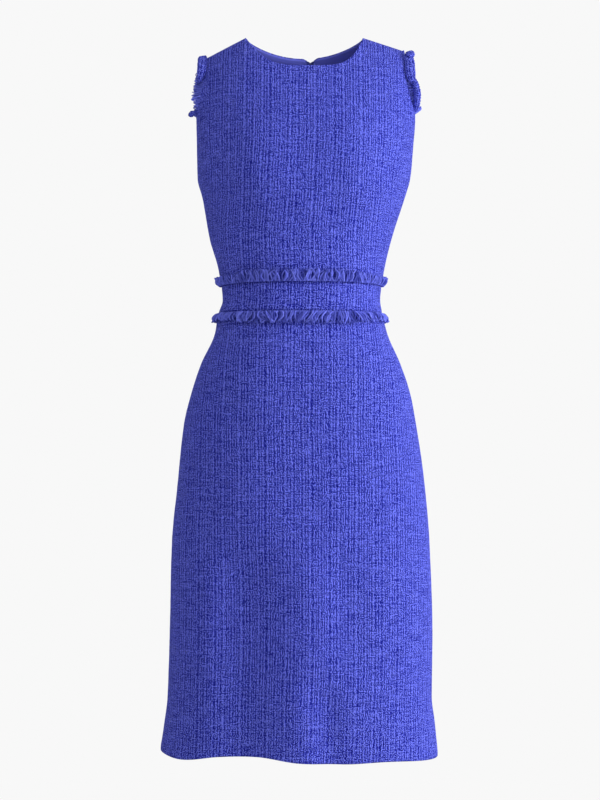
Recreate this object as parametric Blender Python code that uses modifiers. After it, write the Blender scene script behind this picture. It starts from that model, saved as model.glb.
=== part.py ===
"""Sheath dress: sleeveless and knee-length, in its worn hollow shape with no wearer.

Tweed bodice, inset waistband and straight skirt, each a front panel and two back panels, with frayed
fringe at both waist seams and round both armholes. A zip closes the centre back, and a hook and eye
hold its top.

Frame: metres, +Z up. The origin is midway between the shoulder seams, where the wearer holds the dress
up. The front faces -Y. Left and right are the wearer's, so left is +X. A "drop" is a distance straight
down from the neck points, where the shoulder seams meet the neckline. The dress hangs slightly askew,
so its left and right halves have sizes of their own.
"""

import math
from collections import namedtuple

import bmesh
import bpy
import numpy as np

# Heights, as drops
NECK_HEIGHT = 0.012  # the neck points stand this far above the origin
WAIST_TOP = 0.345  # seam between bodice and waistband
WAIST_BOTTOM = 0.385  # seam between waistband and skirt
LENGTH = 0.992  # nominal hem

# Cloth
WALL = 0.002  # tweed and its backing
SEAM = 0.0003  # gap between sewn pieces
LAYER_GAP = 0.0009  # gap between layers, whose flat facets don't quite follow each other
LINING = 0.0008  # neck facing
ROUNDNESS = 2.3  # rings are superellipses: 2 is an ellipse, more is squarer

# Neck and shoulders
NECK_LEFT = 0.088  # X of the left neck point
NECK_RIGHT = -0.076
NECK_FRONT_DROP = 0.0475
NECK_BACK_DROP = 0.0175
NECK_FRONT_SHAPE_LEFT = 5.2  # power of the neckline's curve: higher is flatter across the middle
NECK_FRONT_SHAPE_RIGHT = 3.3
NECK_BACK_SHAPE = 2.0
NECK_NOTCH = 0.005  # depth of the small V at the top of the centre back
NECK_NOTCH_HALF = 0.010
SHOULDER_LEFT = (0.144, 0.018)  # X and drop of the shoulder seam's outer end
SHOULDER_RIGHT = (-0.130, 0.028)
SHOULDER_ROUND = 0.075  # drop over which the cloth turns from the shoulder down to the chest
NECK_DOME = 0.010  # rise of the shoulder line between the neck points, which only shapes the cloth
UNDERARM_LEFT = 0.106
UNDERARM_RIGHT = 0.110
CHEST = 0.150  # a level just below both, where the bodice's columns are spaced

# Bust
BUST_DROP = 0.190
BUST_MIDDLE = 0.006  # X of the middle between the two sides
BUST_HALF_SPAN = 0.078
BUST_RISE = 0.018
BUST_DIP = 0.38  # how much less it rises in the middle
BUST_WIDTH = 0.046
BUST_ABOVE = 0.066  # how far the fullness fades out upwards
BUST_BELOW = 0.054

# Centre back seam and zip
BACK_SEAM_TOP = 0.015  # X of the centre back seam at the neck
BACK_SEAM_LOW = 0.002  # X of it from the waist down
ZIP_TOP = 0.034
ZIP_END = 0.575
ZIP_SLOT = 0.0027  # from the seam line to each cloth edge
ZIP_SLOT_TOP = 0.0046  # the same beside the slider
ZIP_SLOT_FADE = 0.020  # drop over which the slot closes below the zip's end
ZIP_SLOT_NARROWS = (0.042, 0.062)  # the drops between which it narrows below the slider
CHAIN_HALF = 0.0021
CHAIN_DEPTH = (0.0006, 0.0020)  # its outer and inner faces, below the cloth's outer face
TAPE_WIDTH = 0.0115
TAPE = 0.0006
TAPE_TOP = 0.022

# Fringe
FRINGE_UP = 0.0175  # height of the fringe that stands up over the bodice
FRINGE_DOWN = 0.0180
FRINGE_FOOT = 0.0035  # how far each stands off the cloth at its seam, belly and free edge
FRINGE_BELLY = 0.0085
FRINGE_EDGE = 0.0055
FRINGE_GAP = 0.0005
ARMHOLE_FRINGE = 0.0135
ARMHOLE_GAP = 0.0009
ARMHOLE_FLARE = 1.1  # how strongly it turns sideways, away from the armhole

# Mesh counts
SKIRT_COLUMNS = 24
ARMHOLE_COLUMNS = 7
ARMHOLE_CROWD = 1.5  # above 1, its columns crowd together towards the shoulder
SHOULDER_COLUMNS = 3
NECK_COLUMNS = 12
BODICE_ROWS = 12
EDGE_HOLD = 0.6  # share of a bodice column over which it bends from the top edge to its even place
BODICE_CROWD = 1.6  # above 1, the bodice's rows crowd together towards its top edge
RING_SAMPLES = 181
CHAIN_ROWS = 30
FACING_ROWS = 4  # how many of the bodice's top rows the neck facing covers

# Outline: one row for each height, with how far the outer face stands from X = 0 and from Y = 0
SECTION_COLUMNS = ("drop", "right", "left", "front", "back")
SECTIONS = (
    (0.000, 0.146, 0.158, 0.052, 0.084),
    (0.030, 0.149, 0.163, 0.062, 0.095),
    (0.060, 0.149, 0.162, 0.073, 0.101),
    (0.090, 0.147, 0.161, 0.086, 0.103),
    (0.112, 0.145, 0.161, 0.096, 0.104),
    (0.155, 0.144, 0.158, 0.104, 0.102),
    (0.197, 0.143, 0.154, 0.108, 0.099),
    (0.225, 0.136, 0.146, 0.107, 0.096),
    (0.281, 0.126, 0.128, 0.098, 0.088),
    (0.326, 0.113, 0.117, 0.093, 0.084),
    (0.365, 0.108, 0.112, 0.091, 0.082),
    (0.385, 0.114, 0.115, 0.092, 0.085),
    (0.414, 0.119, 0.122, 0.095, 0.092),
    (0.456, 0.138, 0.140, 0.101, 0.106),
    (0.498, 0.152, 0.154, 0.106, 0.118),
    (0.540, 0.162, 0.162, 0.109, 0.126),
    (0.624, 0.171, 0.174, 0.112, 0.128),
    (0.708, 0.179, 0.181, 0.115, 0.124),
    (0.834, 0.182, 0.185, 0.118, 0.120),
    (0.921, 0.185, 0.184, 0.120, 0.119),
    (0.954, 0.189, 0.188, 0.121, 0.120),
    (1.005, 0.197, 0.193, 0.123, 0.121),
)

# Large soft folds of the skirt: the middle line through three points, how wide and how deep.
# A depth below zero is a ridge. Each fades in from its top, and out again if it ends above the hem.
FOLD_COLUMNS = ("face", "x1", "drop1", "x2", "drop2", "x3", "drop3", "width", "depth")
FOLDS = (
    ("front", -0.112, 0.640, -0.080, 0.770, -0.088, 1.005, 0.044, 0.012),
    ("front", 0.000, 0.650, 0.012, 0.790, 0.006, 1.005, 0.038, -0.005),
    ("front", 0.036, 0.680, 0.062, 0.770, 0.074, 0.880, 0.026, 0.004),
    ("front", 0.020, 0.870, 0.034, 0.935, 0.040, 1.005, 0.022, 0.007),
    ("front", -0.128, 0.700, -0.134, 0.830, -0.138, 0.960, 0.020, -0.003),
    ("back", 0.094, 0.650, 0.050, 0.800, 0.064, 1.005, 0.034, 0.011),
    ("back", -0.030, 0.720, -0.052, 0.850, -0.044, 1.005, 0.032, 0.009),
    ("back", 0.006, 0.700, 0.004, 0.850, 0.010, 1.005, 0.034, -0.005),
)
FOLD_FADE = 0.35  # share of a fold's length over which it fades

# The hem's drop at points across the front and the back
HEM_COLUMNS = ("x", "front", "back")
HEM = (
    (-0.197, 0.993, 0.993),
    (-0.165, 0.997, 0.994),
    (-0.110, 0.990, 0.995),
    (-0.060, 0.988, 0.995),
    (0.000, 0.9945, 0.996),
    (0.060, 0.997, 0.997),
    (0.110, 0.996, 0.998),
    (0.193, 1.002, 1.002),
)
SKIRT_ROWS = (0.425, 0.450, 0.480, 0.520, 0.570, 0.630, 0.700, 0.760, 0.820, 0.870, 0.915, 0.955)
WAIST_ROWS = (0.365,)

CLOTH_COLOUR = "5258BA"
FRINGE_COLOUR = "434AA6"
FACING_COLOUR = "4A4FAE"
TAPE_COLOUR = "333B86"
METAL_COLOUR = "8E93A6"

Section = namedtuple("Section", SECTION_COLUMNS)
Fold = namedtuple("Fold", FOLD_COLUMNS)
HemPoint = namedtuple("HemPoint", HEM_COLUMNS)


class Curve:
    """A smooth curve through points, which never swings past them."""

    def __init__(self, places, values):
        self.places = np.array(places)
        self.values = np.array(values)
        step = np.diff(self.values) / np.diff(self.places)
        before, after = step[:-1], step[1:]
        total = np.where(before + after == 0, 1, before + after)
        inner = np.where(before * after > 0, 2 * before * after / total, 0)
        self.slopes = np.concatenate(([step[0]], inner, [step[-1]]))

    def __call__(self, at):
        at = np.clip(at, self.places[0], self.places[-1])
        i = np.clip(np.searchsorted(self.places, at, side="right") - 1, 0, len(self.places) - 2)
        span = self.places[i + 1] - self.places[i]
        t = (at - self.places[i]) / span
        start = self.values[i] * (1 + 2 * t) * (1 - t) ** 2 + self.values[i + 1] * t * t * (3 - 2 * t)
        return start + span * (self.slopes[i] * t * (1 - t) ** 2 + self.slopes[i + 1] * t * t * (t - 1))


def table_curves(rows, kind):
    """One curve for each column of a table after its first."""
    columns = {name: [getattr(kind(*row), name) for row in rows] for name in kind._fields}
    first = kind._fields[0]
    return {name: Curve(columns[first], columns[name]) for name in kind._fields[1:]}


SECTION = table_curves(SECTIONS, Section)
HEM_LINE = table_curves(HEM, HemPoint)


def fade(at, start, end):
    """0 before start, 1 after end, smooth between."""
    t = np.clip((at - start) / (end - start), 0, 1)
    return t * t * (3 - 2 * t)


# The form that every panel lies on


def shoulder_drop(x):
    """Drop of the shoulder line at X."""
    middle = (NECK_LEFT + NECK_RIGHT) / 2
    half = (NECK_LEFT - NECK_RIGHT) / 2
    left = (x - NECK_LEFT) / (SHOULDER_LEFT[0] - NECK_LEFT) * SHOULDER_LEFT[1]
    right = (x - NECK_RIGHT) / (SHOULDER_RIGHT[0] - NECK_RIGHT) * SHOULDER_RIGHT[1]
    dome = -NECK_DOME * (1 - ((x - middle) / half) ** 2)
    return np.where(x > NECK_LEFT, left, np.where(x < NECK_RIGHT, right, dome))


def bust_fullness(x, drop):
    """How far the bust shaping stands out of the plain ring. The cloth spans almost straight between its
    two sides."""
    reach = np.where(drop < BUST_DROP, BUST_ABOVE, BUST_BELOW)
    height = np.exp(-(((drop - BUST_DROP) / reach) ** 2))
    share = np.abs(x - BUST_MIDDLE) / BUST_HALF_SPAN
    outside = np.exp(-(((np.maximum(share, 1) - 1) * BUST_HALF_SPAN / BUST_WIDTH) ** 2))
    dip = BUST_DIP * (1 - np.minimum(share, 1) ** 2) ** 2
    return BUST_RISE * height * (outside - dip)


def fold_depth(face, x, drop):
    """How far the skirt's folds pull the cloth in."""
    total = np.zeros_like(x * drop)
    for row in FOLDS:
        fold = Fold(*row)
        if fold.face != face:
            continue
        line = Curve((fold.drop1, fold.drop2, fold.drop3), (fold.x1, fold.x2, fold.x3))
        length = fold.drop3 - fold.drop1
        share = fade(drop, fold.drop1, fold.drop1 + FOLD_FADE * length)
        if fold.drop3 < LENGTH:
            share = share * (1 - fade(drop, fold.drop3 - FOLD_FADE * length, fold.drop3))
        total = total + fold.depth * share * np.exp(-(((x - line(drop)) / fold.width) ** 2))
    return total


def form(face, angle, drop):
    """Points of the dress's outer face. The angle is 0 in the middle, -90 degrees at the right side seam
    and 90 at the left."""
    right, left = SECTION["right"](drop), SECTION["left"](drop)
    across = np.sign(angle) * np.abs(np.sin(angle)) ** (2 / ROUNDNESS)
    x = (left - right) / 2 + (left + right) / 2 * across
    turn = np.clip((drop - shoulder_drop(x)) / SHOULDER_ROUND, 0, 1)
    depth = SECTION[face](drop)
    if face == "front":
        depth = depth + bust_fullness(x, drop)
    depth = depth - fold_depth(face, x, drop)
    depth = depth * np.abs(np.cos(angle)) ** (2 / ROUNDNESS) * np.sqrt(turn * (2 - turn))
    y = -depth if face == "front" else depth
    return np.stack(np.broadcast_arrays(x, y, NECK_HEIGHT - drop), axis=-1)


def angle_at(x, drop):
    """The angle at which the ring at a drop reaches X."""
    right, left = SECTION["right"](drop), SECTION["left"](drop)
    share = (x - (left - right) / 2) / ((left + right) / 2)
    return np.sign(share) * np.arcsin(np.clip(np.abs(share), 0, 1) ** (ROUNDNESS / 2))


def ring_length(face, drop, angles):
    """Lengths along the ring at a drop from the right side seam to each angle, and the samples used."""
    samples = np.linspace(-math.pi / 2, math.pi / 2, RING_SAMPLES)
    points = form(face, samples, np.full_like(samples, drop))
    lengths = np.concatenate(([0], np.cumsum(np.linalg.norm(np.diff(points, axis=0), axis=1))))
    return np.interp(angles, samples, lengths), samples, lengths


def spread(face, drop, start, end, shares):
    """Angles that lie at given shares of the ring's length between two angles."""
    ends, samples, lengths = ring_length(face, drop, np.array([start, end]))
    return np.interp(ends[0] + np.asarray(shares) * (ends[1] - ends[0]), lengths, samples)


def back_seam_x(drop):
    """X of the centre back seam."""
    return BACK_SEAM_TOP + (BACK_SEAM_LOW - BACK_SEAM_TOP) * fade(drop, 0.0, WAIST_TOP)


def back_edge(side, drop):
    """X of a back panel's edge: against the seam below the zip, beside the zip's slot above it."""
    slot = SEAM / 2 + (ZIP_SLOT - SEAM / 2) * (1 - fade(drop, ZIP_END, ZIP_END + ZIP_SLOT_FADE))
    slot = slot + (ZIP_SLOT_TOP - ZIP_SLOT) * (1 - fade(drop, *ZIP_SLOT_NARROWS))
    return back_seam_x(drop) + side * slot


# Panels: grids of points on the form, rows from the top edge down and columns from -X to +X

Panel = namedtuple("Panel", "face points normals")


def form_normals(face, angles, drops):
    """Outward normals of the form."""
    turn, step = 0.01, 0.0005
    before = np.clip(angles - turn, -math.pi / 2, math.pi / 2)
    after = np.clip(angles + turn, -math.pi / 2, math.pi / 2)
    across = form(face, after, drops) - form(face, before, drops)
    down = form(face, angles, drops + step) - form(face, angles, drops)
    normals = np.cross(down, across) if face == "front" else np.cross(across, down)
    return normals / np.linalg.norm(normals, axis=-1, keepdims=True)


def square_to(normals, where, axis):
    """Turns normals along a seam parallel to its plane, so that two edges match through the wall."""
    normals[where + (axis,)] = 0
    normals[where] /= np.linalg.norm(normals[where], axis=-1, keepdims=True)


X_AXIS, Y_AXIS, Z_AXIS = 0, 1, 2
ALL = slice(None)


def make_panel(face, side, angles, drops, seam_top, seam_bottom, shoulder=()):
    """A panel from its grid of angles and drops, with its edges half a gap back from its seams.

    side is 0 for a front panel, and 1 or -1 for the left or right back panel. shoulder lists the columns
    of the top row that lie on a shoulder seam.
    """
    points = form(face, angles, drops)
    normals = form_normals(face, angles, drops)
    outward = -1 if face == "front" else 1
    if side <= 0:
        points[:, 0, Y_AXIS] = outward * SEAM / 2
    if side >= 0:
        points[:, -1, Y_AXIS] = outward * SEAM / 2
    for column in shoulder:
        points[0, column, Y_AXIS] = outward * SEAM / 2
    if seam_top:
        points[0, :, Z_AXIS] -= SEAM / 2
    if seam_bottom:
        points[-1, :, Z_AXIS] += SEAM / 2
    if side <= 0:
        square_to(normals, (ALL, 0), Y_AXIS)
    if side >= 0:
        square_to(normals, (ALL, -1), Y_AXIS)
    if side:
        square_to(normals, (ALL, 0 if side > 0 else -1), X_AXIS)
    for column in shoulder:
        square_to(normals, (0, column), Y_AXIS)
    if seam_top:
        square_to(normals, (0, ALL), Z_AXIS)
    if seam_bottom:
        square_to(normals, (-1, ALL), Z_AXIS)
    return Panel(face, points, normals)


def panel_span(face, side, drop):
    """The first and last angle of a panel at a drop."""
    if face == "front":
        return -math.pi / 2, math.pi / 2
    edge = float(angle_at(back_edge(side, drop), drop))
    return (edge, math.pi / 2) if side > 0 else (-math.pi / 2, edge)


def level_panel(face, side, drops, columns, hem):
    """A waistband or skirt panel, whose rows are level rings. With hem, its last row follows the hem."""
    shares = np.linspace(0, 1, columns + 1)
    angles = np.array([spread(face, drop, *panel_span(face, side, drop), shares) for drop in drops])
    levels = np.repeat(np.array(drops)[:, None], columns + 1, axis=1)
    if hem:
        x = form(face, angles, levels)[..., X_AXIS]
        levels = WAIST_BOTTOM + (levels - WAIST_BOTTOM) * (HEM_LINE[face](x) - WAIST_BOTTOM) / (
            LENGTH - WAIST_BOTTOM
        )
    return make_panel(face, side, angles, levels, seam_top=True, seam_bottom=not hem)


def neck_drop(face, x):
    """Drop of the neckline at X."""
    share = np.abs(2 * x - NECK_LEFT - NECK_RIGHT) / (NECK_LEFT - NECK_RIGHT)
    if face == "front":
        shape = np.where(2 * x > NECK_LEFT + NECK_RIGHT, NECK_FRONT_SHAPE_LEFT, NECK_FRONT_SHAPE_RIGHT)
        return NECK_FRONT_DROP * (1 - share**shape)
    notch = np.clip(1 - np.abs(x - BACK_SEAM_TOP) / NECK_NOTCH_HALF, 0, 1)
    return NECK_BACK_DROP * (1 - share**NECK_BACK_SHAPE) + NECK_NOTCH * notch


def armhole_edge(side):
    """Angles and drops of one armhole's edge, from the underarm up to just under the shoulder seam."""
    end_x, end_drop = SHOULDER_LEFT if side > 0 else SHOULDER_RIGHT
    underarm = UNDERARM_LEFT if side > 0 else UNDERARM_RIGHT
    end_angle = abs(float(angle_at(end_x, end_drop)))
    left_over = (1 - np.linspace(0, 1, ARMHOLE_COLUMNS + 1)[:-1]) ** ARMHOLE_CROWD
    turn = math.pi / 2 * (1 - left_over)
    angles = math.pi / 2 - (math.pi / 2 - end_angle) * np.sin(turn)
    drops = underarm + (end_drop - underarm) * (1 - np.cos(turn))
    return side * angles, drops


def shoulder_edge(side):
    """Angles and drops of one shoulder seam, from its outer end up to the neck point."""
    end_x = (SHOULDER_LEFT if side > 0 else SHOULDER_RIGHT)[0]
    x = np.linspace(end_x, NECK_LEFT if side > 0 else NECK_RIGHT, SHOULDER_COLUMNS + 1)
    drops = shoulder_drop(x)
    return angle_at(x, drops), drops


def neck_edge(face, start_x, end_x, whole):
    """Angles and drops of the neckline from one neck point, left out, to the other, or to the centre back.
    Its columns crowd together towards the neck points, where the cloth turns fastest."""
    turn = np.linspace(-90, 90, NECK_COLUMNS + 1)[1:]
    if not whole:
        turn = turn[: NECK_COLUMNS // 2]
    middle = (start_x + end_x) / 2 if whole else end_x
    x = middle + (middle - start_x) * np.sin(np.radians(turn))
    drops = neck_drop(face, x)
    return angle_at(x, drops), drops


def half_top_edge(side):
    """One side's armhole and shoulder seam, from the underarm to the neck point."""
    parts = (armhole_edge(side), shoulder_edge(side))
    return np.concatenate([p[0] for p in parts]), np.concatenate([p[1] for p in parts])


def bodice_panel(face, side):
    """A bodice panel: its columns run from the waist seam up to the armhole, shoulder seam and neckline."""
    edge_count = ARMHOLE_COLUMNS + SHOULDER_COLUMNS + 1
    if face == "front":
        neck = neck_edge(face, NECK_RIGHT, NECK_LEFT, whole=True)
        first, last = half_top_edge(-1), half_top_edge(1)
        angles = np.concatenate((first[0], neck[0][:-1], last[0][::-1]))
        drops = np.concatenate((first[1], neck[1][:-1], last[1][::-1]))
        on_shoulder = list(range(ARMHOLE_COLUMNS, edge_count))
        on_shoulder += [len(angles) - 1 - column for column in on_shoulder]
    else:
        start = NECK_LEFT if side > 0 else NECK_RIGHT
        neck = neck_edge(face, start, back_edge(side, NECK_BACK_DROP), whole=False)
        own = half_top_edge(side)
        angles = np.concatenate((own[0], neck[0]))
        drops = np.concatenate((own[1], neck[1]))
        on_shoulder = list(range(ARMHOLE_COLUMNS, edge_count))
        if side > 0:
            angles, drops = angles[::-1], drops[::-1]
            on_shoulder = [len(angles) - 1 - column for column in on_shoulder]

    shares = bodice_shares(face, side, angles)
    heights = np.linspace(0, 1, BODICE_ROWS + 1) ** BODICE_CROWD
    free = np.ones_like(angles)
    if side:
        free[0 if side > 0 else -1] = 0
    all_angles, levels = [], []
    for height in heights:
        level = drops + (WAIST_TOP - FRINGE_UP - drops) * height
        even = [spread(face, d, *panel_span(face, side, d), [s])[0] for d, s in zip(level, shares)]
        all_angles.append(even + (angles - even) * free * (1 - fade(height, 0.0, EDGE_HOLD)))
        levels.append(level)
    all_angles.append(spread(face, WAIST_TOP, *panel_span(face, side, WAIST_TOP), shares))
    levels.append(np.full_like(drops, WAIST_TOP))
    return make_panel(face, side, np.array(all_angles), np.array(levels), False, True, on_shoulder)


def bodice_shares(face, side, angles):
    """Where a bodice panel's columns cross the chest, as shares of its width there.

    The columns under the neckline and shoulders go straight down. Those under the armholes, which run
    close together along its edge, are spread evenly out to the side seam.
    """
    start, end = panel_span(face, side, CHEST)
    lengths, _, _ = ring_length(face, CHEST, np.append(angles, (start, end)))
    shares = (lengths[:-2] - lengths[-2]) / (lengths[-1] - lengths[-2])
    if side <= 0:
        shares[: ARMHOLE_COLUMNS + 1] = np.linspace(0, shares[ARMHOLE_COLUMNS], ARMHOLE_COLUMNS + 1)
    if side >= 0:
        inner = len(shares) - 1 - ARMHOLE_COLUMNS
        shares[inner:] = np.linspace(shares[inner], 1, ARMHOLE_COLUMNS + 1)
    if side > 0:
        shares[0] = 0
    if side < 0:
        shares[-1] = 1
    return shares


# Solids


def linear(hex_colour):
    """A material colour from an sRGB hex value."""
    parts = [int(hex_colour[i : i + 2], 16) / 255 for i in (0, 2, 4)]
    return [c / 12.92 if c <= 0.04045 else ((c + 0.055) / 1.055) ** 2.4 for c in parts] + [1.0]


def dress_object(obj, colour, roughness, metallic=0.0):
    """Gives an object its material and puts it in the dress's collection."""
    material = bpy.data.materials.new(obj.name)
    material.use_nodes = True
    shader = material.node_tree.nodes["Principled BSDF"]
    shader.inputs["Base Color"].default_value = linear(colour)
    shader.inputs["Roughness"].default_value = roughness
    shader.inputs["Metallic"].default_value = metallic
    obj.data.materials.append(material)
    DRESS.objects.link(obj)
    return obj


def mesh_object(name, points, faces):
    """An object from points and faces, with its faces pointing out."""
    mesh = bpy.data.meshes.new(name)
    mesh.from_pydata([tuple(map(float, p)) for p in points], [], faces)
    work = bmesh.new()
    work.from_mesh(mesh)
    bmesh.ops.recalc_face_normals(work, faces=work.faces)
    work.to_mesh(mesh)
    work.free()
    mesh.shade_smooth()
    mesh.set_sharp_from_angle(angle=math.radians(40))
    return bpy.data.objects.new(name, mesh)


def slab(name, outer, inner, colour, roughness=0.9):
    """A closed wall between two grids of points.

    Solidify would lean a panel's edges away from its seams, so the wall is lofted between the two faces.
    """
    rows, columns = outer.shape[:2]
    count = rows * columns
    index = np.arange(count).reshape(rows, columns)
    faces = []
    for r in range(rows - 1):
        for c in range(columns - 1):
            quad = (index[r, c], index[r, c + 1], index[r + 1, c + 1], index[r + 1, c])
            faces.append(quad)
            faces.append(tuple(v + count for v in reversed(quad)))
    rim = [index[0, c] for c in range(columns)] + [index[r, -1] for r in range(1, rows)]
    rim += [index[-1, c] for c in range(columns - 2, -1, -1)]
    rim += [index[r, 0] for r in range(rows - 2, 0, -1)]
    for a, b in zip(rim, rim[1:] + rim[:1]):
        faces.append((b, a, a + count, b + count))
    points = np.concatenate((outer.reshape(-1, 3), inner.reshape(-1, 3)))
    faces = [tuple(int(v) for v in face) for face in faces]
    return dress_object(mesh_object(name, points, faces), colour, roughness)


def loft(name, loops, closed, colour, roughness=0.9):
    """A closed solid through loops of points, joined end to end or capped."""
    count, size = len(loops), len(loops[0])
    faces = []
    for i in range(count if closed else count - 1):
        j = (i + 1) % count
        for k in range(size):
            m = (k + 1) % size
            faces.append((i * size + k, i * size + m, j * size + m, j * size + k))
    if not closed:
        faces.append(tuple(range(size)))
        faces.append(tuple((count - 1) * size + k for k in reversed(range(size))))
    points = np.array(loops).reshape(-1, 3)
    return dress_object(mesh_object(name, points, faces), colour, roughness)


def cloth_panel(name, panel):
    """A panel's wall, inwards from its outer face."""
    return slab(name, panel.points, panel.points - WALL * panel.normals, CLOTH_COLOUR)


def neck_facing(name, panel, columns):
    """The smooth facing inside the back neck, from the panel's own top rows, past the zip tape's depth."""
    rows = slice(0, FACING_ROWS)
    depth = WALL + LAYER_GAP + TAPE + LAYER_GAP
    points = panel.points[rows, columns] - depth * panel.normals[rows, columns]
    inner = points - LINING * panel.normals[rows, columns]
    return slab(name, points, inner, FACING_COLOUR, 0.6)


def waist_fringe(name, panel, seam_row, free_row):
    """A fringe's reach over a panel: it stands off the cloth from the seam row to the free row."""
    loops = []
    for column in range(panel.points.shape[1]):
        seam, free = panel.points[seam_row, column], panel.points[free_row, column]
        seam_out, free_out = panel.normals[seam_row, column], panel.normals[free_row, column]
        belly_out = (seam_out + free_out) / 2
        loops.append(
            (
                seam + FRINGE_GAP * seam_out,
                seam + FRINGE_FOOT * seam_out,
                (seam + free) / 2 + FRINGE_BELLY * belly_out,
                free + FRINGE_EDGE * free_out,
                free + FRINGE_GAP * free_out,
            )
        )
    return loft(name, loops, False, FRINGE_COLOUR, 0.95)


def armhole_rim(panel, columns):
    """A panel's armhole edge from the underarm up: its outer and inner points and the way off the edge,
    which is up at the underarm."""
    outer = panel.points[0, columns]
    inner = outer - WALL * panel.normals[0, columns]
    along = np.gradient(outer, axis=0)
    off = np.cross(along, panel.normals[0, columns])
    off /= np.linalg.norm(off, axis=1, keepdims=True)
    return outer, inner, off * np.sign(off[0, Z_AXIS])


def armhole_fringe(name, side, front, back):
    """A fringe's reach all round one armhole: it goes on from the cloth's edge and flares sideways."""
    count = ARMHOLE_COLUMNS + 1
    columns = list(range(count))
    last_front, last_back = front.points.shape[1] - 1, back.points.shape[1] - 1
    front_columns = columns if side < 0 else [last_front - c for c in columns]
    back_columns = columns if side < 0 else [last_back - c for c in columns]
    front_rim = armhole_rim(front, front_columns)
    back_rim = armhole_rim(back, back_columns)
    sections = []
    for i in range(count):
        sections.append([part[i] for part in front_rim])
    for i in range(count - 2, 0, -1):
        sections.append([part[i] for part in back_rim])
    for i in (0, count - 1):
        sections[i] = [(a[i] + b[i]) / 2 for a, b in zip(front_rim, back_rim)]
    loops = []
    for outer, inner, off in sections:
        off = off / np.linalg.norm(off)
        tip = off + np.array((side * ARMHOLE_FLARE, 0, 0))
        tip *= ARMHOLE_FRINGE / np.linalg.norm(tip)
        start = ARMHOLE_GAP * off
        loops.append((outer + start, outer + tip, inner + tip, inner + start))
    return loft(name, loops, True, FRINGE_COLOUR, 0.95)


# Zip, hook and eye


def zip_tape(name, side, panels):
    """One side's tape, on the back panels' inner faces from below the neck to the zip's end."""
    outer, inner = [], []
    near, beside = (0, 1) if side > 0 else (-1, -2)
    for panel in panels:
        for row in range(panel.points.shape[0]):
            normal = panel.normals[row, near]
            start = panel.points[row, near] - WALL * normal
            end = panel.points[row, beside] - WALL * panel.normals[row, beside]
            drop = NECK_HEIGHT - start[Z_AXIS]
            if not TAPE_TOP < drop < ZIP_END:
                continue
            step = (end - start) / (end[X_AXIS] - start[X_AXIS])
            middle = start + step * (back_seam_x(drop) + side * SEAM / 2 - start[X_AXIS])
            pair = np.array((middle, middle + step * side * TAPE_WIDTH)) - LAYER_GAP * normal
            outer.append(pair)
            inner.append(pair - TAPE * normal)
    return slab(name, np.array(outer), np.array(inner), TAPE_COLOUR)


def centre_back(drop):
    """The point of the form on the centre back seam at a drop, and its outward normal."""
    step = 0.001
    drops = np.array((drop - step, drop, drop + step))
    points = form("back", angle_at(back_seam_x(drops), drops), drops)
    slope = (points[2, Y_AXIS] - points[0, Y_AXIS]) / (2 * step)
    normal = np.array((0.0, 1.0, slope)) / math.hypot(1.0, slope)
    return points[1], normal


def zip_chain(name):
    """The closed row of teeth, as a strip in the slot between the cloth edges."""
    drops = np.linspace(ZIP_TOP, ZIP_END, CHAIN_ROWS)
    faces = {depth: [] for depth in CHAIN_DEPTH}
    for drop in drops:
        point, normal = centre_back(float(drop))
        for depth, rows in faces.items():
            middle = point - depth * normal
            rows.append([middle - (CHAIN_HALF, 0, 0), middle + (CHAIN_HALF, 0, 0)])
    outer, inner = (np.array(faces[depth]) for depth in CHAIN_DEPTH)
    return slab(name, outer, inner, TAPE_COLOUR, 0.5)


def outline_mesh(name, outline, holes, thickness):
    """The mesh of a flat plate, from an outline with holes."""
    curve = bpy.data.curves.new(name, "CURVE")
    curve.dimensions = "2D"
    curve.fill_mode = "BOTH"
    curve.extrude = thickness / 2
    for points in [outline] + holes:
        spline = curve.splines.new("POLY")
        spline.points.add(len(points) - 1)
        for point, (u, v) in zip(spline.points, points):
            point.co = (u, v, 0, 1)
        spline.use_cyclic_u = True
    obj = bpy.data.objects.new(name, curve)
    bpy.context.scene.collection.objects.link(obj)
    bpy.context.view_layer.update()
    mesh = bpy.data.meshes.new_from_object(obj.evaluated_get(bpy.context.evaluated_depsgraph_get()))
    bpy.data.objects.remove(obj)
    work = bmesh.new()
    work.from_mesh(mesh)
    bmesh.ops.remove_doubles(work, verts=work.verts, dist=1e-6)
    bmesh.ops.recalc_face_normals(work, faces=work.faces)
    work.to_mesh(mesh)
    work.free()
    return mesh


def arc(centre, radius, start, end, count):
    """Points on an arc, in degrees."""
    angles = np.radians(np.linspace(start, end, count))
    return [(centre[0] + radius * math.cos(a), centre[1] + radius * math.sin(a)) for a in angles]


# Slider and pull, about the hinge at their own origin: X across, Y off the cloth, Z up along the zip
HINGE_DROP = 0.041
PLATE_TOP = -0.0009  # the slider's outer face
PLATE_THICK = 0.0011
PLATE_HALF = (0.0035, 0.0047)  # half its width at the top, and half its height
PLATE_TAPER = 0.72  # its width at the bottom, as a share
PLATE_BEVEL = 0.0003
BAIL_INNER = 0.0015
BAIL_OUTER = 0.0026
BAIL_WIDTH = 0.0016
PULL_THICK = 0.0010
PULL_LENGTH = 0.024
PULL_TOP = 0.00055  # above the hinge
PULL_CORNER = 0.0006
PULL_EYE = (0.0012, 0.0006, 0.0037)  # half width, and from where to where below the hinge
PULL_HALF = (0.0022, 0.0028)  # half width at the eye and at the end
HINGE_HEIGHT = 0.0018  # above the cloth's outer face


def hinge_frame():
    """Where the pull's hinge is, and the zip's lean there."""
    point, normal = centre_back(HINGE_DROP)
    return point + HINGE_HEIGHT * normal, math.atan2(normal[Z_AXIS], normal[Y_AXIS])


def place(obj, place_at, lean):
    """Puts an object at a point, leaning back with the cloth."""
    obj.location = place_at
    obj.rotation_euler = (lean, 0, 0)


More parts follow.
